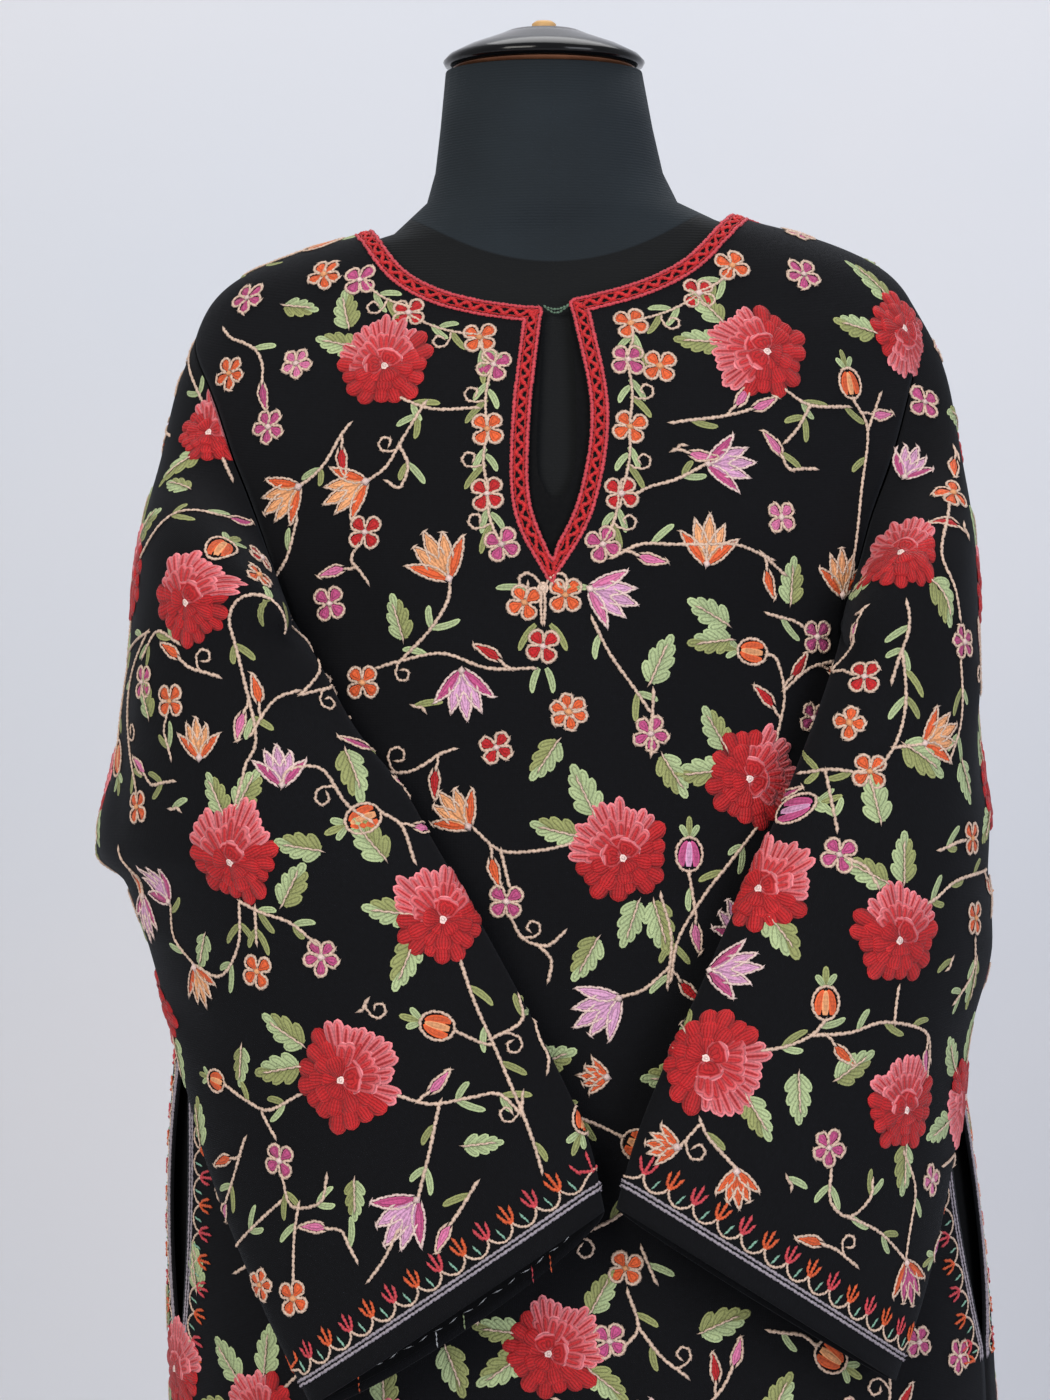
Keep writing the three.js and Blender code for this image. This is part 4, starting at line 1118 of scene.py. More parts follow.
# Embroidery: braid and borders along the edges. "away" is a distance from the edge.
edgeStep = 1.5
braidRows = (
    {"away": 1.2, "colour": "rose", "gauge": 2.2},
    {"away": 9.6, "colour": "rose", "gauge": 2.2},
    {"away": 2.9, "colour": "crimson", "gauge": 1.3},
    {"away": 7.9, "colour": "crimson", "gauge": 1.3},
)
braidWave = {"away": 5.4, "swing": 1.6, "length": 8.6, "gauge": 2.4, "trim": 3.6}
borderSizes = {
    "pocket": 3.5, "band": 12.0, "rowGap": 2.6, "scallop": 15.4, "joint": 11.2, "dip": 6.6,
    "prongFoot": 10.6, "prongBend": 13.5, "prongTip": 11.6, "dash": (6.6, 11.5),
}
prongs = ((-30, 6.4), (0, 9.2), (30, 6.4))  # lean in degrees, reach
# how far the motifs stay from each edge
keepOff = {"neck": 12, "pocket": 27, "cuff": 33, "hem": 33, "seam": 5, "sleeveSeam": 6}


def edgeFrame(chart, uq, way):
    # an edge walked in even steps, with the direction square to it
    uq = np.asarray(uq, float)
    run = runAlong(onCloth(chart, *uq.T)[0])
    even = np.linspace(0, run[-1], max(3, round(run[-1] / edgeStep)))
    uq = np.stack([np.interp(even, run, column) for column in uq.T], axis=1)
    square = []
    for i, (u, q) in enumerate(uq):
        spot = spotFrom(chart, u, q)
        before, after = uq[max(i - 1, 0)], uq[min(i + 1, len(uq) - 1)]
        along = np.linalg.solve(spot["jac"], after - before)
        along /= max(np.hypot(*along), 1e-9)
        square.append(spot["jac"] @ (np.array([-along[1], along[0]]) * way))
    edge, _ = onCloth(chart, *uq.T)
    return {"chart": chart, "run": even, "uq": uq, "square": np.array(square), "edge": edge}


def besideEdge(edge, run, away):
    run, away = np.broadcast_arrays(np.asarray(run, float), np.asarray(away, float))
    columns = [
        np.interp(run, edge["run"], place) + away * np.interp(run, edge["run"], square)
        for place, square in zip(edge["uq"].T, edge["square"].T)
    ]
    return np.stack(columns, axis=-1)


def trimmed(edge, uq, away):
    # leaves out what lies nearer the edge than it should, as inside a corner
    points, _ = onCloth(edge["chart"], *uq.T)
    gap = np.linalg.norm(points[:, None] - edge["edge"][None], axis=2).min(axis=1)
    return uq[gap > away * 0.93]


def braid(edge):
    # two rows of rose-pink chain, two thin ones of crimson and a scarlet wave between them
    chart, run = edge["chart"], np.arange(0, edge["run"][-1], 1.0)
    for row in braidRows:
        line = trimmed(edge, besideEdge(edge, run, row["away"]), row["away"])
        stitchLine(chart, line, row["colour"], row["gauge"], 0.5)
    swing = braidWave["swing"] * np.sin(run * 2 * math.pi / braidWave["length"])
    line = trimmed(edge, besideEdge(edge, run, braidWave["away"] + swing), braidWave["trim"])
    stitchLine(chart, line, "scarlet", braidWave["gauge"], 0.6)


def border(edge, turned, isClosed=False):
    # a plain turned band, two rows of grey chain, cream scallops with a sprig at each joint
    size, chart, length = borderSizes, edge["chart"], edge["run"][-1]
    run = np.arange(0, length + 0.1, edgeStep)
    for away in (turned, turned + size["rowGap"]):
        stitchLine(chart, besideEdge(edge, run, away), "grey", 1.8, 0.45)
    count = round(length / size["scallop"])
    pitch = length / count
    share = np.linspace(0, 1, 11)
    for step in range(count + (0 if isClosed else 1)):
        joint = step * pitch
        for lean, reach in prongs:
            tip = math.tan(math.radians(lean)) * reach
            away = turned + np.array([size["prongFoot"], size["prongBend"], size["prongTip"] + reach])
            prong = besideEdge(edge, [joint, joint + tip * 0.7, joint + tip], away)
            stitchLine(chart, prong, ("orange", "rose")[step % 2], 1.9, 0.5, 1.9)
        if step < count:
            away = turned + size["joint"] - size["dip"] * np.sin(np.pi * share) ** 0.6
            stitchLine(chart, besideEdge(edge, joint + pitch * share, away), "cream", 1.6, 0.45, 1.9)
            dash = besideEdge(edge, joint + pitch * np.array([0.5, 0.42]), turned + np.array(size["dash"]))
            stitchLine(chart, dash, "sea", 1.3, 0.45, 1.8)


def bodyEdge(angles, heights, way):
    # an edge of the body's cloth, given by the angles and heights of its surface
    places = zip(rowOf(bodyChart, heights), angles)
    q = [np.interp(angle, bodyChart["v"][row], bodyChart["q"]) for row, angle in places]
    return edgeFrame(bodyChart, np.stack([heights, q], axis=1), way)


def around(u, count):
    # a line of (u, q) all the way round a piece
    return np.stack([np.full(count, u), np.linspace(0, 1, count)], axis=1)


neckEdges = []
neckRows = np.linspace(armRows["front"], topRow, 160)
backRows = np.linspace(armRows["back"], topRow, 60)[::-1]
pocketHeights = np.linspace(pocket["bottom"] - 8, pocket["top"] + 8, 60)
pocketRows = (pocketHeights - hemHeight) / (underarmHeight - hemHeight) * armRows["below"]
seamHeights = np.linspace(hemHeight, underarmHeight, 80)
for side, way in sides.items():
    edges = zip(innerEdge(side, "front", neckRows), innerEdge(side, "back", backRows))
    angles, heights = (np.concatenate(pair) for pair in edges)
    edge = bodyEdge(way * angles, heights, -way)
    toTip = np.exp(-((edge["run"] / 11) ** 2))[:, None]  # at the foot of the slit the braid makes a V
    down = spotFrom(bodyChart, slitAndNeck["right"][0]["height"], 0.5)["jac"] @ np.array([0, -1.5])
    edge["square"] = edge["square"] * (1 - toTip) + down * toTip
    braid(edge)
    neckEdges.append(edge["edge"])
    take(bodyChart, edge["edge"][::3], keepOff["neck"])
    for panel, away in (("front", -1), ("back", 1)):
        lip = bodyEdge(way * outerEdge(side, panel, pocketRows)[0], pocketHeights, -away * way)
        border(lip, borderSizes["pocket"])
        take(bodyChart, lip["edge"][::4], keepOff["pocket"])
    cuff = edgeFrame(charts[side], around(0.9995, 161), -way)
    border(cuff, borderSizes["band"], True)
    take(charts[side], cuff["edge"][::4], keepOff["cuff"])
    for panel in ("front", "back"):
        angles, heights = outerEdge(side, panel, np.linspace(armRows["below"], topRow, 40))
        armhole = clothSkin(bodyChart, heights, way * angles)
        take(bodyChart, armhole, keepOff["seam"])
        take(charts[side], armhole, keepOff["sleeveSeam"])
    take(bodyChart, clothSkin(bodyChart, seamHeights, way * seamAngle(seamHeights)), keepOff["seam"])
hem = edgeFrame(bodyChart, around(hemHeight + 1.0, 361), 1)
border(hem, borderSizes["band"], True)
take(bodyChart, hem["edge"][::5], keepOff["hem"])
neckEdge = np.concatenate(neckEdges)
print("braid and borders drawn")

# Motifs near the neck stay this far from the braid; below "shoulder" they move outwards from the slit.
offTheBraid = {"reach": 21.5, "shoulder": 1336, "slitX": -3, "tries": 30}
garlandLeaves = (("olive", 1, 0.1, 16), ("mint", 1, -0.16, 13), ("mint", -1, -0.05, 10))


def offBraid(x, z):
    # moves a place down or outwards until a motif there stands clear of the braid
    for _ in range(offTheBraid["tries"]):
        if np.linalg.norm(neckEdge - spotSeen(x, z)["centre"], axis=1).min() > offTheBraid["reach"]:
            break
        outwards = math.copysign(1, x - offTheBraid["slitX"])
        x, z = (x + outwards, z) if z < offTheBraid["shoulder"] else (x, z - 1)
    return x, z


def garland(places, way):
    # the blossoms' joining line, with a curl and small leaves at each gap
    for (x1, z1), (x2, z2) in zip(places, places[1:]):
        gap = math.hypot(x2 - x1, z2 - z1)
        turn = math.degrees(math.atan2(z2 - z1, x2 - x1))
        spot = spotSeen((x1 + x2) / 2, (z1 + z2) / 2, turn)
        bow = way * dice.uniform(1.5, 3)
        drawn(spot, [(gap * (k - 0.5), bow * math.sin(math.pi * k)) for k in arc], "cream", 1.8)
        for colour, hand, at, long in garlandLeaves:
            lean = turn + hand * way * dice.uniform(38, 52)
            foot = spotBeside(spot, (gap * at, bow * 0.6), lean)
            smallLeaf(foot, colour, long + dice.uniform(0, 3), -hand * way * 3.4)
        if gap > 26:
            curl(spotBeside(spot, (gap * 0.12, bow + way), turn + way * 80), 4.9, way)


# Embroidery: the sprays, as (x, z) on the plane y = 0 seen from the front.
# (x, z, way the rose-pink petals face, radius)
roses = [
    (-99, 1321, 110, 29), (120, 1325, 165, 30), (118, 1081, 15, 30), (38, 1036, 110, 29),
    (-66, 1001, 105, 28), (-196, 1281, 60, 25), (-213, 1185, 90, 28), (-187, 1036, 100, 29),
    (-119, 907, 40, 31), (204, 1336, -60, 27), (203, 1212, 120, 28), (123, 1017, 60, 29),
    (201, 988, 80, 29), (92, 913, -40, 31), (204, 892, 100, 28), (1, 750, 40, 29),
    (-216, 741, 60, 27),
]
# (x, z of the calyx, direction, outer petals, inner petals, length)
lilies = [
    (-107, 1251, 205, "orange", "apricot", 26), (-59, 1194, 118, "orange", "apricot", 28),
    (88, 1259, 2, "magenta", "lilac", 26), (90, 1202, 82, "orange", "apricot", 26),
    (21, 1188, -20, "pink", "lilac", 26), (-53, 1145, -85, "magenta", "lilac", 26),
    (-157, 1075, 95, "magenta", "lilac", 24), (-48, 1050, 130, "orange", "apricot", 24),
    (89, 967, 12, "magenta", "lilac", 26), (40, 952, 212, "lilac", "lilac", 27),
    (-79, 837, 232, "magenta", "lilac", 29), (-221, 1006, 125, "magenta", "lilac", 26),
    (183, 1147, -58, "magenta", "lilac", 26), (215, 1098, 20, "orange", "apricot", 25),
    (-208, 971, -75, "orange", "apricot", 22), (168, 1182, 92, "orange", "apricot", 25),
    (204, 799, -75, "orange", "magenta", 25), (-205, 1090, 95, "orange", "apricot", 22),
    (33, 905, 175, "orange", "orange", 15), (74, 866, 172, "orange", "orange", 17),
    (106, 853, -88, "orange", "orange", 19), (204, 1253, 70, "magenta", "lilac", 22),
]
pods = [
    (174, 1297, 96, "orange", 20), (125, 1151, 172, "orange", 20), (-100, 1060, 200, "orange", 22),
    (-57, 932, 165, "orange", 21), (158, 940, 88, "orange", 21), (-196, 1206, 85, "orange", 21),
    (79, 1025, 88, "magenta", 21), (-190, 901, 170, "orange", 17),
]
# (x, z, thread, petals)
blossoms = [
    (-132, 1371, "orange", 5), (-112, 1375, "magenta", 4), (-83, 1354, "crimson", 4),
    (-42, 1341, "orange", 4), (-34, 1320, "magenta", 4), (-37, 1281, "orange", 4),
    (-37, 1246, "crimson", 4), (-24, 1214, "magenta", 4), (-17, 1182, "orange", 4),
    (-5, 1156, "crimson", 4), (8, 1184, "orange", 4), (14, 1213, "magenta", 4),
    (31, 1246, "crimson", 4), (32, 1284, "orange", 4), (63, 1320, "orange", 4),
    (43, 1323, "magenta", 4), (46, 1351, "orange", 4), (84, 1367, "crimson", 4),
    (104, 1390, "orange", 4), (-165, 1282, "magenta", 5),
    (-188, 1315, "orange", 5), (-129, 1180, "magenta", 4), (-111, 1136, "orange", 4),
    (10, 1118, "orange", 6), (57, 1104, "magenta", 5), (-26, 1008, "magenta", 4),
    (145, 1371, "magenta", 5), (-238, 1134, "magenta", 4), (-241, 1062, "orange", 4),
    (-177, 1358, "magenta", 5), (-171, 969, "orange", 4), (-135, 977, "magenta", 5),
    (-158, 859, "magenta", 4), (-151, 778, "orange", 4), (238, 1159, "magenta", 5),
    (184, 1084, "orange", 4), (166, 1036, "magenta", 4), (245, 997, "orange", 4),
    (160, 864, "magenta", 5), (232, 1245, "orange", 4), (43, 794, "orange", 4),
    (216, 1298, "magenta", 4), (236, 742, "magenta", 5), (34, 753, "magenta", 4),
]
# (x, z of the base, direction)
leaves = [
    (-114, 1328, 165), (-118, 1339, 110), (-86, 1159, 105), (137, 1179, 85), (56, 1135, 65),
    (97, 1330, 175), (98, 1344, 125), (99, 1084, 185), (100, 1097, 120), (103, 1159, 185),
    (102, 1170, 150), (24, 1060, 115), (14, 1044, 165), (4, 1102, -125), (63, 1094, -60),
    (50, 1007, -110), (59, 1006, -75), (-82, 1000, 172), (-80, 986, -115), (-190, 1060, 112),
    (-182, 1062, 60), (-157, 1006, 62), (-144, 923, 150), (-147, 913, 190), (77, 933, 130),
    (69, 924, 165), (113, 894, -60), (143, 909, -90), (164, 905, 30), (193, 1019, 150),
    (204, 1019, 85), (204, 865, -95), (-20, 756, 172), (-19, 746, 215), (23, 770, 60),
    (21, 736, -40), (-205, 782, 100), (187, 1336, 165), (194, 1356, 120), (-205, 1267, 215),
    (-121, 1096, -75), (123, 1000, -50), (27, 985, -120), (188, 1199, -160), (219, 1194, -40),
    (204, 1098, -30), (-97, 1032, 130), (-135, 1038, 170), (-234, 1113, 110), (265, 875, 80),
    (-234, 759, 100), (-231, 727, -120), (-63, 750, -70), (85, 759, 20), (190, 1055, 100),
    (245, 974, -80), (236, 1090, -60), (-203, 866, 95),
]
# the points that each stem passes
stems = [
    [(-91, 1300), (-71, 1295), (-44, 1293)], [(-74, 1296), (-86, 1275), (-96, 1261), (-106, 1252)],
    [(-88, 1273), (-83, 1261), (-88, 1247), (-96, 1253)], [(135, 1303), (150, 1295), (172, 1293)],
    [(174, 1297), (182, 1280), (179, 1245), (174, 1209), (170, 1184)],
    [(150, 1296), (143, 1284), (135, 1275)], [(48, 1245), (56, 1248), (72, 1254), (88, 1259)],
    [(34, 1206), (50, 1213), (69, 1215), (90, 1216), (108, 1213), (127, 1205)],
    [(90, 1216), (90, 1202)], [(23, 1171), (33, 1151), (48, 1130), (56, 1118)],
    [(-10, 1141), (-37, 1141), (-63, 1151), (-89, 1148), (-103, 1141)],
    [(-88, 1148), (-71, 1165), (-61, 1180), (-59, 1194)],
    [(-120, 1138), (-135, 1130), (-147, 1127)], [(-100, 1060), (-88, 1050), (-80, 1031)],
    [(-45, 1048), (-31, 1038), (-8, 1038), (11, 1043)], [(-31, 1038), (-26, 1017)],
    [(-24, 1000), (-18, 985), (-3, 984), (8, 991)], [(-8, 984), (-1, 973), (-3, 959)],
    [(63, 1014), (69, 985), (67, 959)],
    [(118, 1050), (102, 1031), (88, 1014), (74, 988), (68, 959)],
    [(130, 1100), (135, 1124), (130, 1147), (125, 1151)], [(135, 1130), (149, 1143), (162, 1148)],
    [(40, 952), (53, 956), (67, 971)], [(79, 1025), (83, 1000)],
    [(121, 1208), (135, 1197)], [(57, 1094), (59, 1130)],
    [(-186, 1252), (-179, 1214), (-169, 1182), (-165, 1151), (-173, 1113), (-178, 1084), (-184, 1062)],
    [(-169, 1182), (-155, 1206), (-147, 1229)], [(-179, 1214), (-192, 1206)],
    [(-176, 1104), (-161, 1124), (-147, 1130)], [(-216, 1156), (-228, 1165), (-238, 1148)],
    [(-234, 1164), (-251, 1148)], [(-182, 1008), (-169, 1002), (-151, 994), (-136, 982)],
    [(-182, 1008), (-182, 982), (-192, 965), (-208, 971)], [(-173, 1003), (-171, 982)],
    [(-208, 971), (-219, 988), (-221, 1006)],
    [(-105, 1054), (-121, 1066), (-135, 1084), (-153, 1084), (-157, 1075)],
    [(-91, 897), (-71, 891), (-48, 895), (-31, 895), (-19, 884)],
    [(-53, 974), (-45, 950), (-31, 919), (-14, 878), (-5, 849)],
    [(-57, 932), (-42, 927), (-35, 926)], [(-66, 892), (-71, 864), (-79, 837)],
    [(-19, 884), (-18, 898)], [(-147, 895), (-164, 886), (-177, 892), (-190, 901)],
    [(-169, 886), (-160, 869)], [(-157, 849), (-151, 832), (-135, 834), (-130, 849)],
    [(-147, 832), (-149, 811), (-150, 788)], [(-90, 817), (-97, 799), (-108, 787)],
    [(-205, 782), (-182, 806), (-157, 832)], [(190, 1301), (182, 1280)],
    [(204, 1182), (203, 1154), (196, 1134)],
    [(203, 1154), (204, 1122), (198, 1098), (184, 1084), (161, 1084), (143, 1083)],
    [(198, 1098), (215, 1098)], [(165, 1049), (162, 1064), (158, 1083)],
    [(190, 1014), (182, 1026), (173, 1032)], [(210, 1002), (222, 1010), (235, 1020), (251, 1026)],
    [(120, 920), (135, 924), (150, 930), (158, 940)],
    [(150, 930), (172, 933), (193, 938), (216, 933), (219, 916)],
    [(85, 882), (90, 869), (106, 853)], [(85, 878), (74, 866)],
    [(161, 853), (162, 834), (172, 826), (183, 834), (185, 846)],
    [(172, 826), (190, 817), (204, 799)], [(201, 959), (199, 938)],
    [(236, 1148), (237, 1113), (230, 1090)], [(245, 988), (243, 965), (233, 950)],
    [(230, 1238), (227, 1206), (236, 1171)], [(204, 864), (210, 840), (204, 799)],
    [(1, 721), (4, 718)], [(43, 782), (50, 759), (40, 750)], [(50, 759), (62, 742), (79, 730)],
    [(50, 806), (59, 785)], [(-234, 1165), (-245, 1124), (-241, 1069)],
    [(-196, 1191), (-202, 1171)], [(-129, 1171), (-136, 1148), (-147, 1127)],
    [(-37, 926), (-19, 939), (-13, 956)],
]
# places that a line of small leaves and curls joins, on each side of the slit
garlands = {
    -1: [(-112, 1375), (-83, 1354), (-42, 1341), (-34, 1320), (-37, 1281), (-37, 1246), (-24, 1214)],
    1: [(104, 1390), (84, 1367), (46, 1351), (43, 1323), (32, 1284), (31, 1246), (14, 1213)],
}
# under the foot of the slit: a hook on each side, a short stem and leaves (x, z, direction, thread, length)
footPlace = (-4.5, 1189)
footHook = [(1, 1), (4, 5.5), (8.5, 8), (12.5, 6), (12.5, 1.5), (9, 0.5), (8, 3.2)]
footStem = [(0.9, -2.5), (1.2, -10), (0.6, -20)]
footLeaves = [(7, -1, 15, "mint", 19), (4, -20, -44, "olive", 17), (2, -44, -58, "mint", 14)]

for x, z, turn, size in roses:
    rose(spotSeen(x, z, turn), size)
for x, z, turn, outer, inner, size in lilies:
    lily(spotSeen(x, z, turn), outer, size, inner)
for x, z, turn, colour, size in pods:
    pod(spotSeen(x, z, turn), colour, size)
for x, z, colour, petals in blossoms:
    x, z = offBraid(x, z)
    blossom(spotSeen(x, z, dice.uniform(-20, 20)), colour, petals)
for way, places in garlands.items():
    garland([offBraid(*place) for place in places], way)
for x, z, turn in leaves:
    leaf(spotSeen(x, z, turn), dice.uniform(26, 31))
for anchors in stems:
    # a stem is drawn on the piece that carries most of it, without the points that are off that piece
    found = [spotSeen(x, z)["chart"]["name"] for x, z in anchors]
    chart = charts[max(charts, key=found.count)]
    path = []
    for x, z in anchors:
        spot = spotAt(chart, x, z)
        if spot["miss"] < 14:
            q = spot["q"] + (round(path[-1][1] - spot["q"]) if path else 0)
            path.append((spot["u"], q))
    if len(path) > 1:
        stem(chart, path)
foot = spotSeen(*footPlace)
patch(foot, (-3.4, 0), (3.4, 0), 3.4, "cream", 0.3, 0.9, 0, "disc", 0.9, (6, 4))
for way in (-1, 1):
    drawn(foot, smooth([(way * x, z) for x, z in footHook]), "cream", 1.8)
    drawn(foot, [(way * x, z) for x, z in footStem], "cream", 1.8)
    for x, z, turn, colour, size in footLeaves:
        lean = turn if way > 0 else 180 - turn
        smallLeaf(spotBeside(foot, (way * x, z), lean), colour, size, -way * 4)
print("sprays drawn")

# Embroidery: the rest of the cloth, filled from a fixed seed.
fillTries = {"body": 1500, "right": 500, "left": 500}
fillRadius = {"spray": 36, "sprig": 8, "small": 13}
fillLimits = {"sleeve": (0.03, 0.95), "top": 1386, "hem": 20, "armhole": 2}
looseLilies = (("magenta", 24, "lilac"), ("orange", 25, "apricot"), ("pink", 23, "lilac"))


def lookUp(table, column, height):
    # straight lines between a table's rows
    table = sorted(table, key=lambda row: row["height"])
    return float(np.interp(height, [row["height"] for row in table], [row[column] for row in table]))


def isOnPiece(chart, u, q):
    # inside the panels' own outline: below the neckline and clear of the armholes
    if chart is not bodyChart:
        return fillLimits["sleeve"][0] < u < fillLimits["sleeve"][1]
    if u > fillLimits["top"] or u < hemHeight + fillLimits["hem"]:
        return False
    if u < underarmHeight:
        return True
    angle = float(np.interp(q % 1, chart["q"], chart["v"][rowOf(chart, u)]))
    side, turn = "left" if angle > 0 else "right", abs(angle)
    if turn > 90:
        return turn > lookUp(armholes["back"][side], "angle", u) + fillLimits["armhole"]
    across = float(between(bodySections, "height", "halfWidth", u)) * math.sin(math.radians(turn))
    isOpen = u > slitAndNeck[side][0]["height"] and across < lookUp(slitAndNeck[side], "x", u)
    return turn < lookUp(armholes["front"][side], "angle", u) - fillLimits["armhole"] and not isOpen


def walk(chart, u, q, heading, reach, sway):
    # a line that leaves (u, q) in some direction, swaying as it goes
    line = [(u, q)]
    steps = max(3, round(reach / 10))
    for step in range(steps):
        turn = heading + sway * math.sin(math.pi * 1.5 * (step + 0.5) / steps)
        line.append(moved(spotFrom(chart, *line[-1]), reach / steps, turn))
    return line


def tipMotif(chart, line, heading):
    # something to end a stem with, as large as there is room for
    if not isOnPiece(chart, *line[-1]):
        return False
    spot = spotFrom(chart, *line[-1], heading)
    if hasRoom(spot, "flower"):
        if dice.choice(("lily", "pod")) == "lily":
            lily(spot, *dice.choice(looseLilies))
        else:
            pod(spot, dice.choice(("orange", "magenta")))
    elif hasRoom(spot, "blossom"):
        centre = moved(spot, room["blossom"][0], heading)
        blossom(spotFrom(chart, *centre), dice.choice(("orange", "magenta", "crimson")))
    elif hasRoom(spot, "bud"):
        bud(spot, dice.choice(("orange", "pink", "magenta")))
    else:
        return False
    return True


def tryStem(chart, u, q, heading, reach, skipped=1):
    # a stem with a motif at its tip, if its whole line is clear, but for the points nearest its foot
    line = walk(chart, u, q, heading, reach, dice.uniform(-50, 50))
    points, _ = onCloth(chart, *np.array(line).T)
    if not all(isOnPiece(chart, *uq) for uq in line):
        return
    if not all(isClear(chart, point, 1.5) for point in points[skipped:]):
        return
    if tipMotif(chart, line, headingOf(chart, np.array(line[-2:]))):
        stem(chart, line)


def scatter(chart, tries, radius, place):
    low, high = chart["us"][0], chart["us"][-1]
    for _ in range(tries):
        u, q = dice.uniform(low, high), dice.random()
        if isOnPiece(chart, u, q):
            spot = spotFrom(chart, u, q, dice.uniform(0, 360))
            if isClear(chart, spot["centre"], radius):
                place(spot)


def placeSpray(spot):
    # a rose with leaves round it and up to three stems that leave it
    chart, size = spot["chart"], dice.uniform(26, 30)
    rose(spot, size)
    first = dice.uniform(0, 360)
    for step in range(3):
        turn = first + 120 * step + dice.uniform(-15, 15)
        for fan in (-24, 24) if step == 0 else (-24,):
            foot = spotFrom(chart, *moved(spot, size * 0.86, turn + 60 + fan), turn + 60 + fan)
            if hasRoom(foot, "leaf"):
                leaf(foot)
    for step in range(3):
        turn = first + 120 * step + dice.uniform(-15, 15)
        tryStem(chart, *moved(spot, size * 0.9, turn), turn, dice.uniform(50, 85), 2)


def placeSprig(spot):
    tryStem(spot["chart"], spot["u"], spot["q"], spot["turn"], dice.uniform(24, 55))


def placeSmall(spot):
    # a blossom, a tiny sprig or a leaf
    growth = dice.random()
    if growth < 0.4:
        blossom(spot, dice.choice(("orange", "magenta", "crimson", "pink")), dice.choice((4, 4, 5)), 12.5)
    elif growth < 0.75:
        stem(spot["chart"], walk(spot["chart"], spot["u"], spot["q"], spot["turn"], 9, 20), 5)
    else:
        leaf(spot, 22)


for name, tries in fillTries.items():
    scatter(charts[name], tries, fillRadius["spray"], placeSpray)
    scatter(charts[name], tries * 2, fillRadius["sprig"], placeSprig)
    scatter(charts[name], tries * 2, fillRadius["small"], placeSmall)
    print("filled", name, charts[name]["taken"])

# Hand sewing: the right cuff's tacking, cut thread ends inside it, and a loop across the top of the slit.
cuffTacking = {
    "side": "right", "share": 0.984, "from": 204, "to": 336, "under": 3.1,
    "stitch": 6.6, "gap": 3.0, "gauge": 0.55,
    "ends": ((0.2, "orange"), (0.26, "rose"), (0.47, "mint"), (0.55, "white"), (0.8, "orange")),
    "end": [[0, 0, 0], [1.2, 0, -3], [0.6, 0, -6], [1.8, 0, -9]],
}
slitThread = {"height": 1343, "share": 0.45, "sags": (2.5, 4.5)}


def tackCuff(size):
    # a white running stitch that holds the cuff's facing, with a few cut ends of embroidery thread
    chart, drawing = charts[size["side"]], drawings[size["side"]]
    turns = np.linspace(size["from"], size["to"], 240)
    line, deeper = (clothSkin(chart, size["share"], turns, size["under"] + more) for more in (0, 1))
    inside = deeper - line
    run = runAlong(line)
    starts = np.arange(3, run[-1] - size["stitch"], size["stitch"] + size["gap"])
    at = np.concatenate([starts, starts + size["stitch"]])
    points, normals = (
        np.stack([np.interp(at, run, column) for column in one.T], axis=1) for one in (line, inside)
    )
    strand(drawing, points, normals, "white", size["gauge"], size["stitch"] / 2.7)
    for share, colour in size["ends"]:
        i = int(share * (len(turns) - 1))
        ends = line[i] + inside[i] * 0.6 + np.array(size["end"]) * dice.uniform(0.8, 1.2)
        strand(drawing, np.concatenate([ends[:-1], ends[1:]]), np.tile(inside[i], (6, 1)), colour, 0.9, 1.5)


def slitLoop(size):
    # a slack green thread loop across the top of the slit
    row = np.array([armRows["front"] + size["share"] * (topRow - armRows["front"])])
    start, end = (
        clothSkin(bodyChart, size["height"], way * abs(innerEdge(side, "front", row)[0][0]))
        for side, way in sides.items()
    )
    k = np.linspace(0, 1, 9)[:, None]
    for sag in size["sags"]:
        hang = np.concatenate([0 * k, 0 * k - 1.2, -sag * np.sin(np.pi * k)], axis=1)
        path = start + (end - start) * k + hang
        normals = np.tile([0, -1.0, 0], (16, 1))
        strand(drawings["front"], np.concatenate([path[:-1], path[1:]]), normals, "green", 1.3, 1.1)


tackCuff(cuffTacking)
slitLoop(slitThread)

# From drawings to meshes: each bead of chain stitch is a four-sided grain.
stitchInputs = {"Sides": 4, "Seed": 7}


def makeStitchTree():
    # a bead on every point, laid along the thread, a little thicker or thinner from one to the next
    tree = bpy.data.node_groups.new("chainStitches", "GeometryNodeTree")
    for name, kind in (("Points", "Geometry"), ("Sides", "Int"), ("Seed", "Int")):
        tree.interface.new_socket(name, in_out="INPUT", socket_type=f"NodeSocket{kind}")
    tree.interface.new_socket("Stitches", in_out="OUTPUT", socket_type="NodeSocketGeometry")
    given = addNode(tree, "NodeGroupInput").outputs
    bead = addNode(tree, "GeometryNodeMeshUVSphere", {"Segments": given["Sides"], "Rings": 2, "Radius": 0.5})
    along, up, size = (
        addNode(
            tree, "GeometryNodeInputNamedAttribute", {"Name": name}, data_type="FLOAT_VECTOR"
        ).outputs["Attribute"]
        for name in ("along", "up", "size")
    )
    turn = addNode(
        tree, "FunctionNodeAxesToRotation", {"Primary Axis": along, "Secondary Axis": up},
        primary_axis="Z", secondary_axis="X",
    )
    uneven = addNode(
        tree, "FunctionNodeRandomValue", {2: 0.88, 3: 1.12, "Seed": given["Seed"]}, data_type="FLOAT"
    )
    scale = addNode(tree, "ShaderNodeVectorMath", {0: size, "Scale": uneven.outputs[1]}, operation="SCALE")
    placed = addNode(
        tree, "GeometryNodeInstanceOnPoints",
        {"Points": given["Points"], "Instance": bead.outputs["Mesh"], "Rotation": turn, "Scale": scale},
    )
    real = addNode(tree, "GeometryNodeRealizeInstances", {0: placed})
    soft = addNode(tree, "GeometryNodeSetShadeSmooth", {0: real})
    dressed = addNode(tree, "GeometryNodeSetMaterial", {"Geometry": soft, "Material": rayonChain})
    addNode(tree, "NodeGroupOutput", {0: dressed})
    return tree


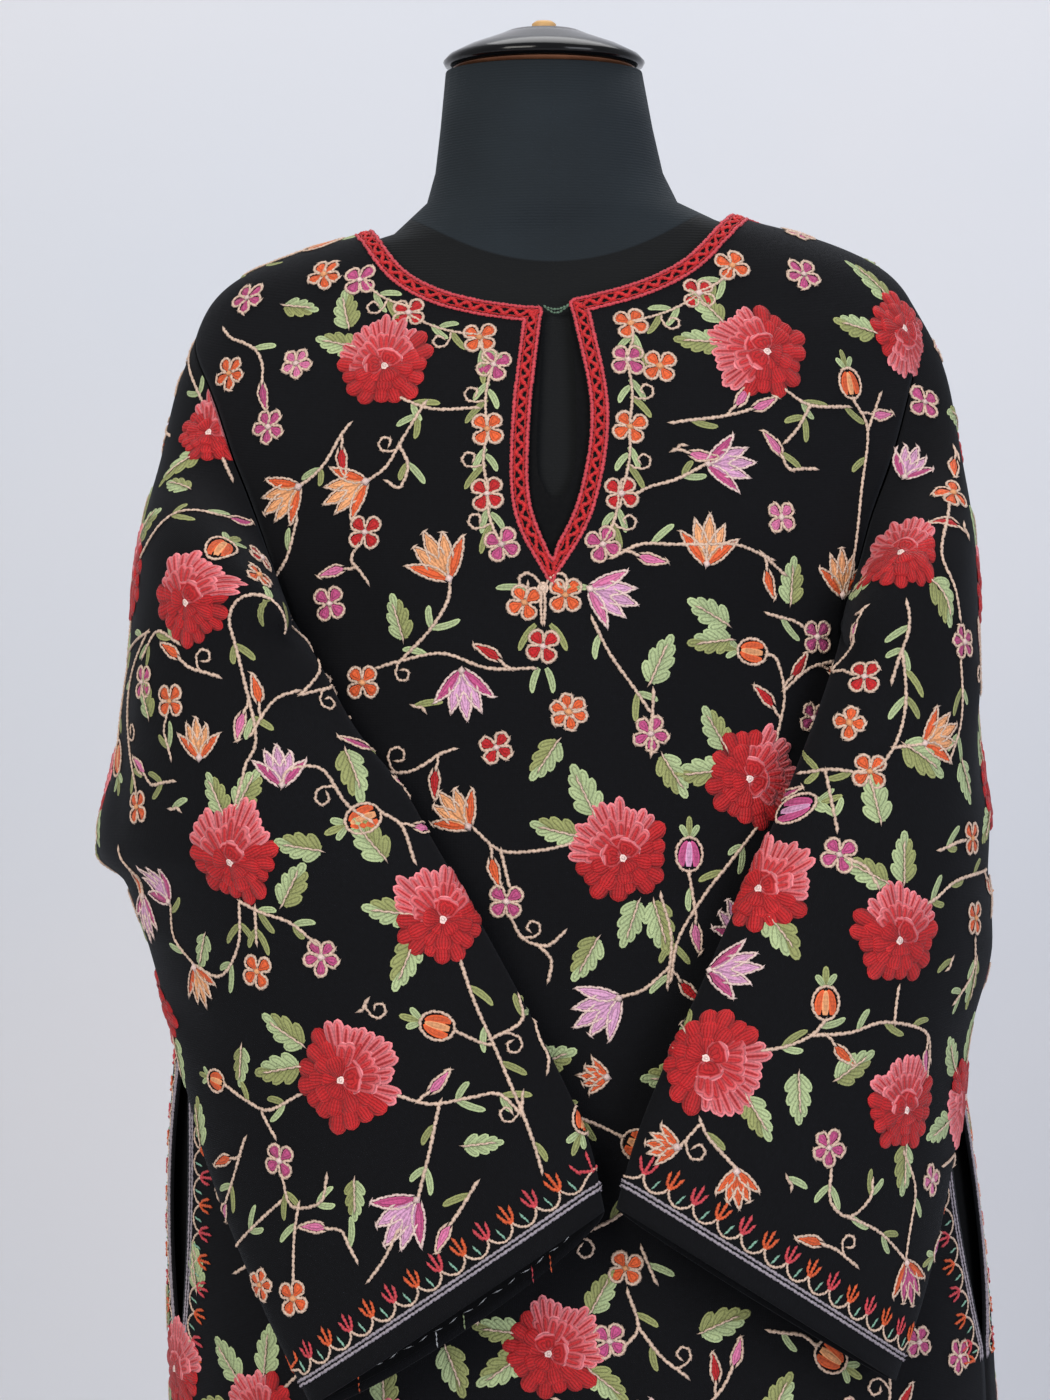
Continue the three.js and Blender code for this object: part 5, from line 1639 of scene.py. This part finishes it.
def tintPoints(mesh, tints):
    # the thread's colour at every point, which the material reads
    tints = np.concatenate(tints)
    colours = np.concatenate([tints, np.ones((len(tints), 1))], axis=1).astype(np.float32)
    mesh.attributes.new("thread", "FLOAT_COLOR", "POINT").data.foreach_set("color", colours.ravel())


def makeStitches(name, drawing, tree):
    piece = makeMesh(name, np.concatenate(drawing["at"]), [], rayonChain)
    mesh = piece.data
    for key, title, scale in (("along", "along", 1), ("up", "up", 1), ("sizes", "size", 0.001)):
        values = np.concatenate(drawing[key]).astype(np.float32) * scale
        mesh.attributes.new(title, "FLOAT_VECTOR", "POINT").data.foreach_set("vector", values.ravel())
    tintPoints(mesh, drawing["tints"])
    modifier = piece.modifiers.new("stitches", "NODES")
    modifier.node_group = tree
    for item in tree.interface.items_tree:
        if item.in_out == "INPUT" and item.name in stitchInputs:
            modifier[item.identifier] = stitchInputs[item.name]
    graph = bpy.context.evaluated_depsgraph_get()
    grown = bpy.data.meshes.new_from_object(piece.evaluated_get(graph))
    piece.modifiers.clear()
    piece.data = grown
    bpy.data.meshes.remove(mesh)
    return piece


def makeFills(name, drawing):
    points, faces, uvs = (np.concatenate(drawing[key]) for key in ("points", "faces", "uvs"))
    piece = makeMesh(name, points, faces.tolist(), rayonFill)
    corners = (uvs / 1000)[faces.ravel()]
    piece.data.uv_layers.new(name="stitch").data.foreach_set("uv", corners.ravel())
    tintPoints(piece.data, drawing["shades"])
    return piece


stitchTree = makeStitchTree()
embroidery = {}
for name, drawing in drawings.items():
    embroidery[name] = [
        makeFills(f"{name}Embroidery", drawing), makeStitches(f"{name}Stitches", drawing, stitchTree),
    ]
    for piece in embroidery[name]:
        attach(piece, "root")
    print(name, "embroidered:", *(len(piece.data.polygons) for piece in embroidery[name]))

# The form, its cap and the stand. The neck seam rises by its bow times x squared, in metres.
neckSeam = {"height": 1.372, "bow": 4.3}


def makeJersey(rib):
    # cotton-blend jersey stretched over the form: matt, finely ribbed, slate above the neck seam; below it,
    # inside the garment, painted near black as shade
    material, tree = newMaterial("slateJersey")
    place = addNode(tree, "ShaderNodeTexCoord").outputs["Object"]
    parts = addNode(tree, "ShaderNodeSeparateXYZ", {0: place}).outputs
    ribs = addNode(
        tree, "ShaderNodeTexWave",
        {"Vector": place, "Scale": 1000 / rib / bandsPerUnit, "Distortion": 0.8, "Detail": 1.0},
        bands_direction="Z",
    )
    grain = addNode(tree, "ShaderNodeTexNoise", {"Vector": place, "Scale": 1000 / 1.3, "Detail": 3.0})
    squared = addNode(tree, "ShaderNodeMath", {0: parts["X"], 1: parts["X"]}, operation="MULTIPLY")
    seamLine = {0: squared, 1: neckSeam["bow"], 2: neckSeam["height"]}
    sag = addNode(tree, "ShaderNodeMath", seamLine, operation="MULTIPLY_ADD")
    above = addNode(tree, "ShaderNodeMath", {0: parts["Z"], 1: sag}, operation="SUBTRACT")
    isNeck = addNode(tree, "ShaderNodeMapRange", {"Value": above, "From Min": 0.0, "From Max": 0.0012})
    # a second seam runs up the middle
    toSeam = addNode(tree, "ShaderNodeMath", {0: above}, operation="ABSOLUTE")
    toMiddle = addNode(tree, "ShaderNodeMath", {0: parts["X"]}, operation="ABSOLUTE")
    nearest = addNode(tree, "ShaderNodeMath", {0: toSeam, 1: toMiddle}, operation="MINIMUM")
    seam = addNode(tree, "ShaderNodeMapRange", {"Value": nearest, "From Min": 0.0003, "From Max": 0.0016})
    texture = addNode(tree, "ShaderNodeMath", {0: ribs.outputs["Fac"], 1: grain}, operation="ADD")
    height = addNode(tree, "ShaderNodeMath", {0: seam, 1: 2.0, 2: texture}, operation="MULTIPLY_ADD")
    bump = addNode(tree, "ShaderNodeBump", {"Strength": 0.4, "Distance": 0.0003, "Height": height})
    cloud = addNode(tree, "ShaderNodeTexNoise", {"Vector": place, "Scale": 14.0, "Detail": 4.0})
    neckShades = {"Factor": cloud, "A": linear("#12171b"), "B": linear("#1d252b")}
    slate = addNode(tree, "ShaderNodeMix", neckShades, data_type="RGBA").outputs["Result"]
    # painted shade: below the neck seam, where the garment covers it, the form is painted near black instead
    # of slate
    shades = {"Factor": isNeck, "A": linear("#06080a"), "B": slate}
    colour = addNode(tree, "ShaderNodeMix", shades, data_type="RGBA").outputs["Result"]
    shader = addNode(
        tree, "ShaderNodeBsdfPrincipled",
        {"Base Color": colour, "Normal": bump, "Roughness": 0.85, "Specular IOR Level": 0.25,
         "Sheen Weight": 0.08, "Sheen Roughness": 0.4, "Sheen Tint": linear("#8fa0ad")},
    )
    addNode(tree, "ShaderNodeOutputMaterial", {0: shader})
    return material


def makeHard(name, dark, light, roughness, scale, inputs=None):
    # a hard finish with a little unevenness in its colour and its shine
    material, tree = newMaterial(name)
    place = addNode(tree, "ShaderNodeTexCoord").outputs["Object"]
    cloud = addNode(tree, "ShaderNodeTexNoise", {"Vector": place, "Scale": scale, "Detail": 4.0})
    shades = {"Factor": cloud, "A": linear(dark), "B": linear(light)}
    colour = addNode(tree, "ShaderNodeMix", shades, data_type="RGBA").outputs["Result"]
    shine = {"Value": cloud, "To Min": roughness * 0.8, "To Max": roughness * 1.25}
    rough = addNode(tree, "ShaderNodeMapRange", shine)
    bump = addNode(tree, "ShaderNodeBump", {"Strength": 0.12, "Distance": 0.0004, "Height": cloud})
    looks = {"Base Color": colour, "Roughness": rough, "Normal": bump}
    shader = addNode(tree, "ShaderNodeBsdfPrincipled", looks | (inputs or {}))
    addNode(tree, "ShaderNodeOutputMaterial", {0: shader})
    return material


# polished black lacquer: near-black, with sharp reflections
blackLacquer = makeHard("blackLacquer", "#030304", "#080708", 0.14, 30.0, {"Specular IOR Level": 0.28})
# turned and oiled beech: pale, warm and half matt
beechWood = makeHard("beechWood", "#a97b45", "#d3aa70", 0.5, 60.0)
# aged copper plate: brown, with soft reflections
copperRim = makeHard("copperRim", "#4c2c1d", "#87583a", 0.35, 50.0, {"Metallic": 0.6})
# black powder coat on steel: a fine speckle and a dull shine
powderCoat = makeHard("powderCoat", "#0e0e10", "#1a1a1c", 0.5, 400.0, {"Metallic": 0.2})
# the crepe's inner side: matt and plain
facingCloth = makeHard("facingCloth", "#040405", "#090a0c", 0.9, 500.0, {"Specular IOR Level": 0.15})
finishes = {
    "form_torso": makeJersey(1.6), "neck_cap": blackLacquer, "neck_cap_rim": copperRim, "cap_peg": beechWood,
    "stand_base": powderCoat, "stand_pole": powderCoat, "pole_collar": powderCoat, "slit_facing": facingCloth,
    "cuff_facing_right": facingCloth, "cuff_facing_left": facingCloth, "pocket_bag_right": facingCloth,
    "pocket_bag_left": facingCloth,
}


def setMaterial(mesh, material):
    mesh.materials.clear()
    mesh.materials.append(material)


def smoothCopy(name, material):
    # the node's own shape with its corners joined, so that its round faces shade smoothly
    mesh = nodes[name].data.copy()
    shape = bmesh.new()
    shape.from_mesh(mesh)
    bmesh.ops.remove_doubles(shape, verts=shape.verts, dist=1e-5)
    shape.to_mesh(mesh)
    shape.free()
    mesh.polygons.foreach_set("use_smooth", [True] * len(mesh.polygons))
    mesh.set_sharp_from_angle(angle=math.radians(38))
    setMaterial(mesh, material)
    piece = bpy.data.objects.new(f"{name}_smooth", mesh)
    bpy.context.collection.objects.link(piece)
    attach(piece, "root")
    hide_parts(name)
    return piece


for name, material in finishes.items():
    if material is facingCloth:
        setMaterial(nodes[name].data, material)
    else:
        smoothCopy(name, material)
print("form and stand finished")

# What each piece stands for; flat sizes in metres.
carriers = {
    "front": {
        "node": "front_panel", "flat": (0.62, 1.13),
        "with": ["slit_facing", "pocket_bag_right", "pocket_bag_left"],
    },
    "back": {"node": "back_panel", "flat": (0.66, 1.13), "with": []},
    "right": {"node": "sleeve_right", "flat": (0.5, 0.62), "with": ["cuff_facing_right"]},
    "left": {"node": "sleeve_left", "flat": (0.5, 0.62), "with": ["cuff_facing_left"]},
}
for name, carrier in carriers.items():
    piece, area = cloths[name]
    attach(piece, "root")
    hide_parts(carrier["node"])
